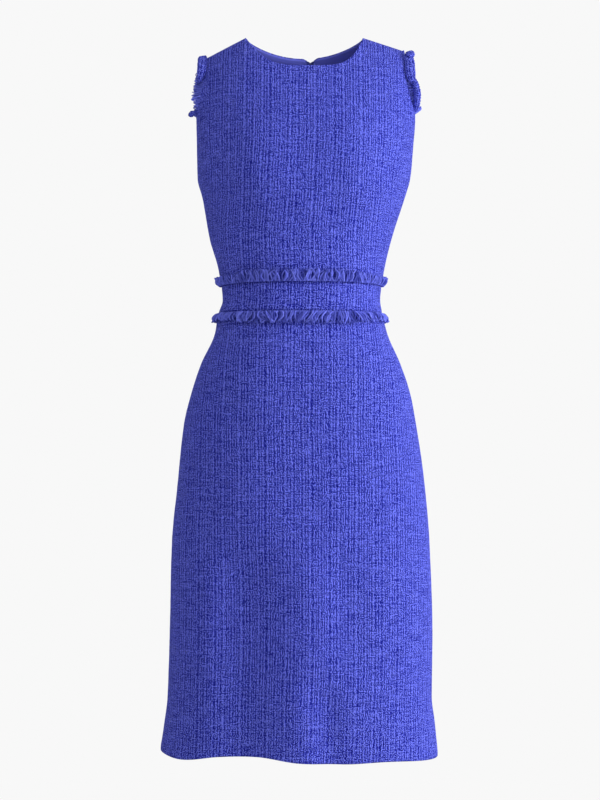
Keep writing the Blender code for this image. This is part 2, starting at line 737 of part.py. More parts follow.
def zip_slider(name, at, lean):
    """The slider: a tapered plate over the teeth, with an arched bail for the pull."""
    bpy.ops.mesh.primitive_cube_add(size=1)
    plate = bpy.context.object
    plate.name = name
    for vertex in plate.data.vertices:
        half = PLATE_HALF[0] * (1.0 if vertex.co.z > 0 else PLATE_TAPER)
        vertex.co.x *= 2 * half
        vertex.co.y = vertex.co.y * PLATE_THICK + PLATE_TOP - PLATE_THICK / 2
        vertex.co.z *= 2 * PLATE_HALF[1]
    foot = PLATE_TOP - PLATE_THICK / 2
    outline = [(BAIL_OUTER, foot)] + arc((0, 0), BAIL_OUTER, 0, 180, 11) + [(-BAIL_OUTER, foot)]
    outline += [(-BAIL_INNER, foot)] + arc((0, 0), BAIL_INNER, 180, 0, 9) + [(BAIL_INNER, foot)]
    bail_mesh = outline_mesh("bail", outline, [], BAIL_WIDTH)
    for vertex in bail_mesh.vertices:
        u, v, w = vertex.co
        vertex.co = (w, v, u)
    bail_mesh.flip_normals()
    bail = bpy.data.objects.new("bail", bail_mesh)
    bail.hide_render = True
    bail.display_type = "WIRE"
    CUTTERS.objects.link(bail)
    bevel = plate.modifiers.new("edges", "BEVEL")
    bevel.width = PLATE_BEVEL
    bevel.segments = 2
    union = plate.modifiers.new("bail", "BOOLEAN")
    union.operation = "UNION"
    union.object = bail
    for owner in list(plate.users_collection):
        owner.objects.unlink(plate)
    for obj in (plate, bail):
        place(obj, at, lean)
    return dress_object(plate, METAL_COLOUR, 0.35, 1.0)


def zip_pull(name, at, lean):
    """The pull tab, hanging down the zip from an eye round the bail."""
    eye_half, eye_top, eye_bottom = PULL_EYE
    top_half, end_half = PULL_HALF
    outline = arc((0, -PULL_LENGTH + end_half), end_half, 180, 360, 11)
    outline += [(top_half, -eye_bottom), (top_half, -eye_top), (top_half - PULL_CORNER, PULL_TOP)]
    outline += [(-top_half + PULL_CORNER, PULL_TOP), (-top_half, -eye_top), (-top_half, -eye_bottom)]
    hole = [(-eye_half, -eye_top), (-eye_half, -eye_bottom), (eye_half, -eye_bottom), (eye_half, -eye_top)]
    mesh = outline_mesh(name, outline, [hole], PULL_THICK)
    for vertex in mesh.vertices:
        u, v, w = vertex.co
        vertex.co = (u, w, v)
    mesh.flip_normals()
    obj = bpy.data.objects.new(name, mesh)
    place(obj, at, lean)
    return dress_object(obj, METAL_COLOUR, 0.35, 1.0)


# Hook and eye, about the middle of the closure: X across, Y off the cloth, Z up
HOOK_DROP = 0.0245
HOOK_WIRE = 0.00045
EYE_WIRE = 0.00035
HOOK_BEND = 0.00115  # radius at which the hook turns back on itself
WIRE_LOOP = 0.0013  # radius of the loops that are sewn down
HOOK_TIP = -0.002  # X of the hook's end
WIRE_BASE = 0.0075  # X of the sewn loops, either side of the middle
HOOK_NOSE = 0.0015
EYE_NOSE = 0.0030
EYE_HALF = 0.0019  # half the eye's height


def wire(name, points, radius, at, lean):
    """A bent wire as a curve with round section."""
    curve = bpy.data.curves.new(name, "CURVE")
    curve.dimensions = "3D"
    curve.bevel_depth = radius
    curve.bevel_resolution = 2
    curve.use_fill_caps = True
    spline = curve.splines.new("POLY")
    spline.points.add(len(points) - 1)
    for point, place_at in zip(spline.points, points):
        point.co = (*place_at, 1)
    obj = bpy.data.objects.new(name, curve)
    place(obj, at, lean)
    return dress_object(obj, METAL_COLOUR, 0.4, 1.0)


def hook_and_eye():
    """The hook on the right back edge, caught round the nose of the eye on the left."""
    point, normal = centre_back(HOOK_DROP)
    inside = WALL + LAYER_GAP + TAPE + LAYER_GAP + LINING + LAYER_GAP + HOOK_WIRE
    at = point - inside * normal
    lean = math.atan2(normal[Z_AXIS], normal[Y_AXIS])
    loop = arc((-WIRE_BASE, WIRE_LOOP), WIRE_LOOP, -340, -90, 12)
    hook = [(x, 0, z) for x, z in loop]
    bend = arc((HOOK_NOSE, -HOOK_BEND), HOOK_BEND, 90, -90, 8)
    hook += [(x, y, 0) for x, y in bend] + [(HOOK_TIP, -2 * HOOK_BEND, 0)]
    wire("hook", hook, HOOK_WIRE, at, lean)
    upper = arc((WIRE_BASE, EYE_HALF + WIRE_LOOP), WIRE_LOOP, 160, -90, 12)
    nose = arc((EYE_NOSE, 0), EYE_HALF, 90, 270, 9)
    eye = [(x, 0, z) for x, z in upper]
    eye += [(x, -HOOK_BEND, z) for x, z in nose]
    eye += [(x, 0, -z) for x, z in upper[::-1]]
    wire("eye", eye, EYE_WIRE, at, lean)


# Build

for old in list(bpy.data.objects):
    bpy.data.objects.remove(old)
DRESS = bpy.data.collections.new("sheath_dress")
CUTTERS = bpy.data.collections.new("cutters")
for group in (DRESS, CUTTERS):
    bpy.context.scene.collection.children.link(group)

SIDES = (("left", 1), ("right", -1))
waist_drops = (WAIST_TOP,) + WAIST_ROWS + (WAIST_BOTTOM,)
skirt_drops = (WAIST_BOTTOM, WAIST_BOTTOM + FRINGE_DOWN) + SKIRT_ROWS + (LENGTH,)

bodice_front = bodice_panel("front", 0)
waistband_front = level_panel("front", 0, waist_drops, SKIRT_COLUMNS, hem=False)
skirt_front = level_panel("front", 0, skirt_drops, SKIRT_COLUMNS, hem=True)
cloth_panel("bodice_front", bodice_front)
cloth_panel("waistband_front", waistband_front)
cloth_panel("skirt_front", skirt_front)
waist_fringe("fringe_upper_front", bodice_front, -1, -2)
waist_fringe("fringe_lower_front", skirt_front, 0, 1)

for side_name, side_sign in SIDES:
    bodice = bodice_panel("back", side_sign)
    waistband = level_panel("back", side_sign, waist_drops, SKIRT_COLUMNS // 2, hem=False)
    skirt = level_panel("back", side_sign, skirt_drops, SKIRT_COLUMNS // 2, hem=True)
    cloth_panel(f"bodice_back_{side_name}", bodice)
    cloth_panel(f"waistband_back_{side_name}", waistband)
    cloth_panel(f"skirt_back_{side_name}", skirt)
    waist_fringe(f"fringe_upper_back_{side_name}", bodice, -1, -2)
    waist_fringe(f"fringe_lower_back_{side_name}", skirt, 0, 1)
    neck_columns = NECK_COLUMNS // 2 + SHOULDER_COLUMNS
    facing_columns = slice(0, neck_columns) if side_sign > 0 else slice(-neck_columns, None)
    neck_facing(f"neck_facing_{side_name}", bodice, facing_columns)
    armhole_fringe(f"fringe_armhole_{side_name}", side_sign, bodice_front, bodice)
    zip_tape(f"zip_tape_{side_name}", side_sign, (bodice, waistband, skirt))

hinge_at, hinge_lean = hinge_frame()
zip_chain("zip_chain")
zip_slider("zip_slider", hinge_at, hinge_lean)
zip_pull("zip_pull", hinge_at, hinge_lean)
hook_and_eye()
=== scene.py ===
"""Sheath dress in slub tweed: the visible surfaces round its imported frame.

Metres, +Z up. The front faces -Y, and left (+X) is the wearer's. A "drop" is a distance straight down from
the neck points, where the shoulder seams meet the neckline. Every panel lies on one smooth form, which
DressForm works out from its sizes, and the frame's solids lie on the same form.
"""

from __future__ import annotations

import logging
import math
from dataclasses import dataclass, field, fields, replace
from enum import Enum
from typing import Sequence

import bmesh
import bpy
import numpy as np
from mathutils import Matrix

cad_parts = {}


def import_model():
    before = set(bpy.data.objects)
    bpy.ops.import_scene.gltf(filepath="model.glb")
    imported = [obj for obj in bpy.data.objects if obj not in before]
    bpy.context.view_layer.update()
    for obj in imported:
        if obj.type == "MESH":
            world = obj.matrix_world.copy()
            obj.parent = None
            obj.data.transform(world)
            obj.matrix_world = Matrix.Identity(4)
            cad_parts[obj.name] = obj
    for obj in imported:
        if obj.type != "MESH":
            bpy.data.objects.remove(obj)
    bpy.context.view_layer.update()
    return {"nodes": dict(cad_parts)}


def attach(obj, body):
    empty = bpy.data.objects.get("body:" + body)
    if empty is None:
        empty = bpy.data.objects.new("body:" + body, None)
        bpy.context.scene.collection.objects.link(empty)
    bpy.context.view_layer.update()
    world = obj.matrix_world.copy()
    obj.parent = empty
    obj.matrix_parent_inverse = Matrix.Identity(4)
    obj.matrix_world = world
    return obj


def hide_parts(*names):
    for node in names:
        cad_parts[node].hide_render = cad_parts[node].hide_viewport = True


LOG = logging.getLogger("sheath_dress")

X_AXIS, Y_AXIS, Z_AXIS = 0, 1, 2
MATH, VECTOR_MATH, NOISE = "ShaderNodeMath", "ShaderNodeVectorMath", "ShaderNodeTexNoise"
Array = np.ndarray
Pair = tuple[float, float]
Piece, Material = bpy.types.Object, bpy.types.Material
Tree, Socket = bpy.types.NodeTree, bpy.types.NodeSocket


class Face(Enum):
    """The front or the back of the dress."""

    FRONT = "front"
    BACK = "back"

    @property
    def outward(self) -> int:
        """The sign of Y that this face looks to."""
        return -1 if self is Face.FRONT else 1


class Side(Enum):
    """The wearer's side that a piece belongs to, as a sign of X."""

    LEFT = 1
    WHOLE = 0
    RIGHT = -1


# General helpers


def linear(code: str) -> tuple[float, float, float, float]:
    """Turns an sRGB colour into a linear one.

    Args:
        code: Six hex digits.

    Returns:
        Linear red, green and blue, and an alpha of 1.
    """
    parts = [int(code[i : i + 2], 16) / 255 for i in (0, 2, 4)]
    red, green, blue = (c / 12.92 if c <= 0.04045 else ((c + 0.055) / 1.055) ** 2.4 for c in parts)
    return red, green, blue, 1.0


def feed(node: bpy.types.Node, sockets: dict | tuple) -> None:
    """Gives a node's inputs their values, or links them.

    Args:
        node: The node.
        sockets: For each input, by name or in order, a value or the output that feeds it.
    """
    for key, value in sockets.items() if isinstance(sockets, dict) else enumerate(sockets):
        if isinstance(value, Socket):
            node.id_data.links.new(value, node.inputs[key])
        else:
            node.inputs[key].default_value = value


def add_node(tree: Tree, kind: str, sockets: dict | tuple = (),
             **settings: object) -> Socket | None:
    """Adds a node to a tree, with its settings, values and links.

    Args:
        tree: The shader or geometry tree.
        kind: The node's type.
        sockets: What its inputs are given.
        **settings: Attributes of the node.

    Returns:
        The node's first output, if it has one. Its others are reached through its node.
    """
    node = tree.nodes.new(kind)
    for name, value in settings.items():
        setattr(node, name, value)
    feed(node, sockets)
    return node.outputs[0] if node.outputs else None


def fade(at: Array | float, start: float, end: float) -> Array:
    """Smooth step.

    Args:
        at: Where to read it.
        start: The place where it leaves 0.
        end: The place where it reaches 1.

    Returns:
        A share from 0 to 1.
    """
    t = np.clip((np.asarray(at, float) - start) / (end - start), 0, 1)
    return t * t * (3 - 2 * t)


class Curve:
    """A smooth curve through points, which never swings past them."""

    def __init__(self, places: Sequence[float], values: Sequence[float]) -> None:
        """Keeps the points and works out the slopes at them.

        Args:
            places: Rising places.
            values: The curve's value at each.
        """
        self.places = np.array(places)
        self.values = np.array(values)
        step = np.diff(self.values) / np.diff(self.places)
        before, after = step[:-1], step[1:]
        total = np.where(before + after == 0, 1, before + after)
        inner = np.where(before * after > 0, 2 * before * after / total, 0)
        self.slopes = np.concatenate(([step[0]], inner, [step[-1]]))

    def __call__(self, at: Array | float) -> Array:
        """Reads the curve.

        Args:
            at: Places, which stop at the curve's ends.

        Returns:
            Its values there.
        """
        at = np.clip(at, self.places[0], self.places[-1])
        i = np.clip(np.searchsorted(self.places, at, side="right") - 1, 0, len(self.places) - 2)
        span = self.places[i + 1] - self.places[i]
        t = (at - self.places[i]) / span
        start = self.values[i] * (1 + 2 * t) * (1 - t) ** 2 + self.values[i + 1] * t * t * (3 - 2 * t)
        return start + span * (self.slopes[i] * t * (1 - t) ** 2 + self.slopes[i + 1] * t * t * (t - 1))


def unit(vectors: Array) -> Array:
    """Scales vectors to a length of 1."""
    return vectors / np.linalg.norm(vectors, axis=-1, keepdims=True)


def placed(name: str, data: bpy.types.ID) -> Piece:
    """Makes an object at the origin, and links it to the scene."""
    piece = bpy.data.objects.new(name, data)
    bpy.context.scene.collection.objects.link(piece)
    return piece


def report(piece: Piece) -> None:
    """Logs a piece and how many faces it has."""
    LOG.info("%s: %d faces", piece.name, len(piece.data.polygons))


# The form


@dataclass(frozen=True)
class Section:
    """How far the outer face stands from X = 0 and from Y = 0 at a drop."""

    drop: float
    right: float
    left: float
    front: float
    back: float


@dataclass(frozen=True)
class Fold:
    """A large soft fold of the skirt, along a line through three points. A depth below 0 is a ridge."""

    face: Face
    x1: float
    drop1: float
    x2: float
    drop2: float
    x3: float
    drop3: float
    width: float
    depth: float


@dataclass(frozen=True)
class Crease:
    """A small trough or dart line between two points. A depth below 0 is a ridge."""

    face: Face
    x1: float
    drop1: float
    x2: float
    drop2: float
    width: float
    depth: float


@dataclass(frozen=True)
class HemPoint:
    """The hem's drop on both faces at X."""

    x: float
    front: float
    back: float


SECTIONS = tuple(Section(*row) for row in (
    (0.000, 0.146, 0.158, 0.052, 0.084),
    (0.030, 0.149, 0.163, 0.062, 0.095),
    (0.060, 0.149, 0.162, 0.073, 0.101),
    (0.090, 0.147, 0.161, 0.086, 0.103),
    (0.112, 0.145, 0.161, 0.096, 0.104),
    (0.155, 0.144, 0.158, 0.104, 0.102),
    (0.197, 0.143, 0.154, 0.108, 0.099),
    (0.225, 0.136, 0.146, 0.107, 0.096),
    (0.281, 0.126, 0.128, 0.098, 0.088),
    (0.326, 0.113, 0.117, 0.093, 0.084),
    (0.365, 0.108, 0.112, 0.091, 0.082),
    (0.385, 0.114, 0.115, 0.092, 0.085),
    (0.414, 0.119, 0.122, 0.095, 0.092),
    (0.456, 0.138, 0.140, 0.101, 0.106),
    (0.498, 0.152, 0.154, 0.106, 0.118),
    (0.540, 0.162, 0.162, 0.109, 0.126),
    (0.624, 0.171, 0.174, 0.112, 0.128),
    (0.708, 0.179, 0.181, 0.115, 0.124),
    (0.834, 0.182, 0.185, 0.118, 0.120),
    (0.921, 0.185, 0.184, 0.120, 0.119),
    (0.954, 0.189, 0.188, 0.121, 0.120),
    (1.005, 0.197, 0.193, 0.123, 0.121),
))

FOLDS = tuple(Fold(*row) for row in (
    (Face.FRONT, -0.112, 0.640, -0.080, 0.770, -0.088, 1.005, 0.044, 0.012),
    (Face.FRONT, 0.000, 0.650, 0.012, 0.790, 0.006, 1.005, 0.038, -0.005),
    (Face.FRONT, 0.036, 0.680, 0.062, 0.770, 0.074, 0.880, 0.026, 0.004),
    (Face.FRONT, 0.020, 0.870, 0.034, 0.935, 0.040, 1.005, 0.022, 0.007),
    (Face.FRONT, -0.128, 0.700, -0.134, 0.830, -0.138, 0.960, 0.020, -0.003),
    (Face.BACK, 0.094, 0.650, 0.050, 0.800, 0.064, 1.005, 0.034, 0.011),
    (Face.BACK, -0.030, 0.720, -0.052, 0.850, -0.044, 1.005, 0.032, 0.009),
    (Face.BACK, 0.006, 0.700, 0.004, 0.850, 0.010, 1.005, 0.034, -0.005),
))

CREASES = tuple(Crease(*row) for row in (
    # under the right arm
    (Face.FRONT, -0.146, 0.112, -0.114, 0.096, 0.0035, 0.0024),
    (Face.FRONT, -0.144, 0.124, -0.124, 0.115, 0.0030, 0.0016),
    # under the left arm
    (Face.FRONT, 0.160, 0.110, 0.136, 0.094, 0.0035, 0.0012),
    # pulls from the right bust down to the waist, and across the middle
    (Face.FRONT, -0.100, 0.196, -0.060, 0.276, 0.013, 0.0022),
    (Face.FRONT, 0.050, 0.170, 0.040, 0.300, 0.014, 0.0014),
    (Face.FRONT, -0.020, 0.215, 0.010, 0.250, 0.012, -0.0010),
    # waist darts
    (Face.FRONT, -0.072, 0.345, -0.068, 0.215, 0.0012, 0.0007),
    (Face.FRONT, 0.078, 0.345, 0.075, 0.215, 0.0012, 0.0007),
    # hips
    (Face.FRONT, -0.128, 0.470, -0.070, 0.560, 0.018, 0.0018),
    (Face.FRONT, 0.132, 0.455, 0.090, 0.520, 0.016, 0.0012),
    # the same on the back
    (Face.BACK, 0.155, 0.114, 0.128, 0.098, 0.0035, 0.0020),
    (Face.BACK, -0.142, 0.116, -0.120, 0.102, 0.0035, 0.0016),
    (Face.BACK, -0.078, 0.345, -0.066, 0.195, 0.0012, 0.0007),
    (Face.BACK, 0.080, 0.345, 0.070, 0.195, 0.0012, 0.0007),
    (Face.BACK, -0.078, 0.387, -0.080, 0.500, 0.0012, 0.0006),
    (Face.BACK, 0.080, 0.387, 0.082, 0.500, 0.0012, 0.0006),
    (Face.BACK, 0.110, 0.285, 0.040, 0.316, 0.010, 0.0020),
    (Face.BACK, -0.104, 0.300, -0.050, 0.318, 0.009, 0.0016),
    (Face.BACK, -0.130, 0.450, -0.060, 0.500, 0.016, 0.0016),
))

HEM = tuple(HemPoint(*row) for row in (
    (-0.197, 0.993, 0.993),
    (-0.165, 0.997, 0.994),
    (-0.110, 0.990, 0.995),
    (-0.060, 0.988, 0.995),
    (0.000, 0.9945, 0.996),
    (0.060, 0.997, 0.997),
    (0.110, 0.996, 0.998),
    (0.193, 1.002, 1.002),
))


@dataclass
class DressForm:
    """The smooth form that all the cloth lies on, and the lines cut in it."""

    neck_height: float = 0.012  # the neck points stand this far above the origin
    waist_top: float = 0.345
    waist_bottom: float = 0.385
    length: float = 0.992
    seam: float = -0.0003  # sewn pieces overlap by this much, so that no light comes through
    roundness: float = 2.3  # power of the rings' superellipses
    neck_left: float = 0.088
    neck_right: float = -0.076
    neck_front_drop: float = 0.0475
    neck_back_drop: float = 0.0175
    neck_front_shape: Pair = (5.2, 3.3)  # left and right: higher is flatter across the middle
    neck_back_shape: float = 2.0
    neck_notch: float = 0.005  # depth of the small V at the top of the centre back
    neck_notch_half: float = 0.010
    shoulder_left: Pair = (0.144, 0.018)  # X and drop of the shoulder seam's outer end
    shoulder_right: Pair = (-0.130, 0.028)
    shoulder_round: float = 0.075  # drop over which the cloth turns from the shoulder down to the chest
    neck_dome: float = 0.010  # rise of the shoulder line between the neck points
    underarm_left: float = 0.106
    underarm_right: float = 0.110
    chest: float = 0.150  # a drop below both armholes, where the bodice's columns are spaced
    bust_drop: float = 0.190
    bust_middle: float = 0.006
    bust_half_span: float = 0.078
    bust_rise: float = 0.018
    bust_dip: float = 0.38  # how much less it rises in the middle, as a share
    bust_width: float = 0.046
    bust_above: float = 0.066  # how far the fullness fades out upwards and downwards
    bust_below: float = 0.054
    back_seam_top: float = 0.015  # X of the centre back seam at the neck, and from the waist down
    back_seam_low: float = 0.002
    zip_end: float = 0.575
    zip_slot: float = 0.0027  # from the seam line to each cloth edge, and the same beside the slider
    zip_slot_top: float = 0.0046
    zip_slot_fade: float = 0.020  # drop over which the slot closes below the zip's end
    zip_slot_narrows: Pair = (0.042, 0.062)  # drops between which it narrows below the slider
    fold_fade: float = 0.35  # share of a fold's length over which it comes and goes
    crease_fade: float = 0.02  # creases fade out where the form is less deep than this
    waist_dip: float = 0.0028  # how far the waist seams sink at the sides
    waist_dip_reach: float = 0.045
    armhole_crowd: float = 1.2  # above 1, an armhole's columns crowd together towards the shoulder
    ring_angles: int = 241  # size of the table of lengths round the form
    ring_drops: int = 260
    halvings: int = 26  # steps of the search for an angle at a length
    section: dict[str, Curve] = field(init=False)
    hem_line: dict[Face, Curve] = field(init=False)
    lengths: dict[Face, Array] = field(init=False)

    def __post_init__(self) -> None:
        """Makes the curves through the tables, and a table of lengths round the form."""
        drops = [row.drop for row in SECTIONS]
        self.section = {
            name: Curve(drops, [getattr(row, name) for row in SECTIONS])
            for name in ("right", "left", "front", "back")
        }
        places = [row.x for row in HEM]
        self.hem_line = {face: Curve(places, [getattr(row, face.value) for row in HEM]) for face in Face}
        self.angles = np.linspace(-math.pi / 2, math.pi / 2, self.ring_angles)
        self.drops = np.linspace(0, SECTIONS[-1].drop, self.ring_drops)
        self.lengths = {face: self.ring_lengths(face) for face in Face}

    def shoulder_drop(self, x: Array | float) -> Array:
        """Drop of the shoulder line at X."""
        middle = (self.neck_left + self.neck_right) / 2
        half = (self.neck_left - self.neck_right) / 2
        left = (x - self.neck_left) / (self.shoulder_left[0] - self.neck_left) * self.shoulder_left[1]
        right = (x - self.neck_right) / (self.shoulder_right[0] - self.neck_right) * self.shoulder_right[1]
        dome = -self.neck_dome * (1 - ((x - middle) / half) ** 2)
        return np.where(x > self.neck_left, left, np.where(x < self.neck_right, right, dome))

    def bust_fullness(self, x: Array, drop: Array) -> Array:
        """How far the bust shaping stands out of the plain ring."""
        reach = np.where(drop < self.bust_drop, self.bust_above, self.bust_below)
        height = np.exp(-(((drop - self.bust_drop) / reach) ** 2))
        share = np.abs(x - self.bust_middle) / self.bust_half_span
        outside = np.exp(-(((np.maximum(share, 1) - 1) * self.bust_half_span / self.bust_width) ** 2))
        dip = self.bust_dip * (1 - np.minimum(share, 1) ** 2) ** 2
        return self.bust_rise * height * (outside - dip)

    def fold_depth(self, face: Face, x: Array, drop: Array) -> Array:
        """How far the skirt's folds pull the cloth in."""
        total = np.zeros_like(x * drop)
        for fold in (fold for fold in FOLDS if fold.face is face):
            line = Curve((fold.drop1, fold.drop2, fold.drop3), (fold.x1, fold.x2, fold.x3))
            run = self.fold_fade * (fold.drop3 - fold.drop1)
            share = fade(drop, fold.drop1, fold.drop1 + run)
            if fold.drop3 < self.length:
                share = share * (1 - fade(drop, fold.drop3 - run, fold.drop3))
            total = total + fold.depth * share * np.exp(-(((x - line(drop)) / fold.width) ** 2))
        return total

    def crease_depth(self, face: Face, x: Array, drop: Array) -> Array:
        """How far the small creases and darts pull the cloth in."""
        total = np.zeros_like(x * drop)
        for crease in (crease for crease in CREASES if crease.face is face):
            run_x, run_drop = crease.x2 - crease.x1, crease.drop2 - crease.drop1
            length = math.hypot(run_x, run_drop)
            along = ((x - crease.x1) * run_x + (drop - crease.drop1) * run_drop) / length**2
            nearest = np.clip(along, 0, 1)
            off = np.hypot(x - crease.x1 - nearest * run_x, drop - crease.drop1 - nearest * run_drop)
            share = 1 - (2 * nearest - 1) ** 4
            total = total + crease.depth * share * np.exp(-((off / crease.width) ** 2))
        return total

    def point(self, face: Face, angle: Array | float, drop: Array | float, creased: bool = True) -> Array:
        """Points of the outer face.

        Args:
            face: The front or the back.
            angle: 0 in the middle, -90 degrees at the right side seam and 90 at the left.
            drop: The drop of each point.
            creased: Whether the small creases are pressed in.

        Returns:
            Points, in the last axis.
        """
        right, left = self.section["right"](drop), self.section["left"](drop)
        across = np.sign(angle) * np.abs(np.sin(angle)) ** (2 / self.roundness)
        x = (left - right) / 2 + (left + right) / 2 * across
        turn = np.clip((drop - self.shoulder_drop(x)) / self.shoulder_round, 0, 1)
        depth = self.section[face.value](drop)
        if face is Face.FRONT:
            depth = depth + self.bust_fullness(x, drop)
        depth = depth - self.fold_depth(face, x, drop)
        depth = depth * np.abs(np.cos(angle)) ** (2 / self.roundness) * np.sqrt(turn * (2 - turn))
        if creased:
            depth = np.maximum(depth - self.crease_depth(face, x, drop) * fade(depth, 0.0, self.crease_fade), 0)
        sunk = self.waist_dip * np.abs(np.sin(angle)) ** 3 * np.exp(
            -(((drop - self.waist_top) / self.waist_dip_reach) ** 2)
        )
        return np.stack(np.broadcast_arrays(x, face.outward * depth, self.neck_height - drop - sunk), axis=-1)

    def normal(self, face: Face, angle: Array, drop: Array) -> Array:
        """Outward normals of the form, from points close by on each side."""
        turn, step = 0.006, 0.0005
        before = np.clip(angle - turn, -math.pi / 2, math.pi / 2)
        after = np.clip(angle + turn, -math.pi / 2, math.pi / 2)
        across = self.point(face, after, drop) - self.point(face, before, drop)
        down = self.point(face, angle, drop + step) - self.point(face, angle, drop)
        return unit(np.cross(across, down) * face.outward)

    def angle_at(self, x: Array | float, drop: Array | float) -> Array:
        """The angle at which the ring at a drop reaches X."""
        right, left = self.section["right"](drop), self.section["left"](drop)
        share = (x - (left - right) / 2) / ((left + right) / 2)
        return np.sign(share) * np.arcsin(np.clip(np.abs(share), 0, 1) ** (self.roundness / 2))

    def ring_lengths(self, face: Face) -> Array:
        """Lengths round each ring from the right side seam, a row for each drop of the table."""
        points = self.point(face, self.angles[None], self.drops[:, None], creased=False)
        steps = np.linalg.norm(np.diff(points, axis=1), axis=-1)
        return np.concatenate((np.zeros((len(self.drops), 1)), np.cumsum(steps, axis=1)), axis=1)

    def length_at(self, face: Face, angle: Array | float, drop: Array | float) -> Array:
        """Length round the ring from the right side seam to an angle.

        Args:
            face: The front or the back.
            angle: Angles.
            drop: Their drops.

        Returns:
            Lengths, read smoothly from the table.
        """
        angle, drop = np.broadcast_arrays(np.asarray(angle, float), np.asarray(drop, float))
        last = 1.001  # keeps the last cell in reach
        row = np.clip(drop / self.drops[1], 0, len(self.drops) - last)
        column = (angle - self.angles[0]) / (self.angles[1] - self.angles[0])
        column = np.clip(column, 0, len(self.angles) - last)
        i, j = row.astype(int), column.astype(int)
        a, b = row - i, column - j
        table = self.lengths[face]
        top = table[i, j] * (1 - b) + table[i, j + 1] * b
        low = table[i + 1, j] * (1 - b) + table[i + 1, j + 1] * b
        return top * (1 - a) + low * a

    def back_seam_x(self, drop: Array | float) -> Array:
        """X of the centre back seam."""
        return self.back_seam_top + (self.back_seam_low - self.back_seam_top) * fade(drop, 0, self.waist_top)

    def back_edge(self, side: Side, drop: Array | float) -> Array:
        """X of a back panel's edge: beside the zip's slot, and against the seam below it."""
        half = self.seam / 2
        slot = half + (self.zip_slot - half) * (1 - fade(drop, self.zip_end, self.zip_end + self.zip_slot_fade))
        slot = slot + (self.zip_slot_top - self.zip_slot) * (1 - fade(drop, *self.zip_slot_narrows))
        return self.back_seam_x(drop) + side.value * slot

    def span(self, face: Face, side: Side, drop: Array | float) -> tuple[Array, Array]:
        """The first and last angle of a panel at a drop."""
        quarter = np.full_like(np.asarray(drop, float), math.pi / 2)
        if face is Face.FRONT:
            return -quarter, quarter
        edge = self.angle_at(self.back_edge(side, drop), drop)
        return (edge, quarter) if side is Side.LEFT else (-quarter, edge)

    def spread(self, face: Face, side: Side, drop: Array, share: Array) -> Array:
        """Angles at shares of a panel's width.

        Args:
            face: The front or the back.
            side: Which of the panels.
            drop: The drop of each point.
            share: Its share of the panel's width there, from -X to +X.

        Returns:
            The angles.
        """
        drop, share = np.broadcast_arrays(np.asarray(drop, float), np.asarray(share, float))
        start, end = self.span(face, side, drop)
        first, last = self.length_at(face, start, drop), self.length_at(face, end, drop)
        goal = first + share * (last - first)
        low, high = np.copy(start), np.copy(end)
        for _ in range(self.halvings):
            middle = (low + high) / 2
            under = self.length_at(face, middle, drop) < goal
            low, high = np.where(under, middle, low), np.where(under, high, middle)
        return (low + high) / 2

    def neck_drop(self, face: Face, x: Array) -> Array:
        """Drop of the neckline at X."""
        share = np.abs(2 * x - self.neck_left - self.neck_right) / (self.neck_left - self.neck_right)
        if face is Face.FRONT:
            shape = np.where(2 * x > self.neck_left + self.neck_right, *self.neck_front_shape)
            return self.neck_front_drop * (1 - share**shape)
        notch = np.clip(1 - np.abs(x - self.back_seam_top) / self.neck_notch_half, 0, 1)
        return self.neck_back_drop * (1 - share**self.neck_back_shape) + self.neck_notch * notch

    def armhole_edge(self, side: Side, count: int) -> tuple[Array, Array]:
        """One armhole's edge.

        Args:
            side: The armhole's side.
            count: How many steps it takes.

        Returns:
            Angles and drops from the underarm up, without the point on the shoulder seam.
        """
        end_x, end_drop = self.shoulder_left if side is Side.LEFT else self.shoulder_right
        underarm = self.underarm_left if side is Side.LEFT else self.underarm_right
        end_angle = abs(float(self.angle_at(end_x, end_drop)))
        turn = math.pi / 2 * (1 - (1 - np.linspace(0, 1, count + 1)[:-1]) ** self.armhole_crowd)
        angles = math.pi / 2 - (math.pi / 2 - end_angle) * np.sin(turn)
        return side.value * angles, underarm + (end_drop - underarm) * (1 - np.cos(turn))

    def shoulder_edge(self, side: Side, count: int) -> tuple[Array, Array]:
        """Angles and drops of a shoulder seam, from its outer end up to the neck point."""
        end_x = (self.shoulder_left if side is Side.LEFT else self.shoulder_right)[0]
        neck_x = self.neck_left if side is Side.LEFT else self.neck_right
        x = np.linspace(end_x, neck_x, count + 1)
        drops = self.shoulder_drop(x)
        return self.angle_at(x, drops), drops

    def neck_edge(self, face: Face, side: Side, count: int) -> tuple[Array, Array]:
        """Angles and drops of the neckline, from a neck point, left out, to the other or to the centre back.

        Args:
            face: The front or the back.
            side: WHOLE for the front, from right to left, and the panel's side for the back.
            count: How many steps it takes.

        Returns:
            Angles and drops, whose steps crowd together towards the neck points.
        """
        if side is Side.WHOLE:
            middle, half = (self.neck_right + self.neck_left) / 2, (self.neck_left - self.neck_right) / 2
            turn = np.linspace(-90, 90, count + 1)[1:]
        else:
            middle = float(self.back_edge(side, self.neck_back_drop))
            half = middle - (self.neck_left if side is Side.LEFT else self.neck_right)
            turn = np.linspace(-90, 0, count + 1)[1:]
        x = middle + half * np.sin(np.radians(turn))
        drops = self.neck_drop(face, x)
        return self.angle_at(x, drops), drops


# Cloth


@dataclass
class Cloth:
    """A grid of cloth on the form: rows from the top edge down and columns from -X to +X."""

    face: Face
    side: Side
    points: Array
    normals: Array
    u: Array  # length across the weave from the middle, in metres
    v: Array  # length up the weave from the waist

    def edge(self, row: int) -> tuple[Array, Array]:
        """Points and normals of one row."""
        return self.points[row], self.normals[row]


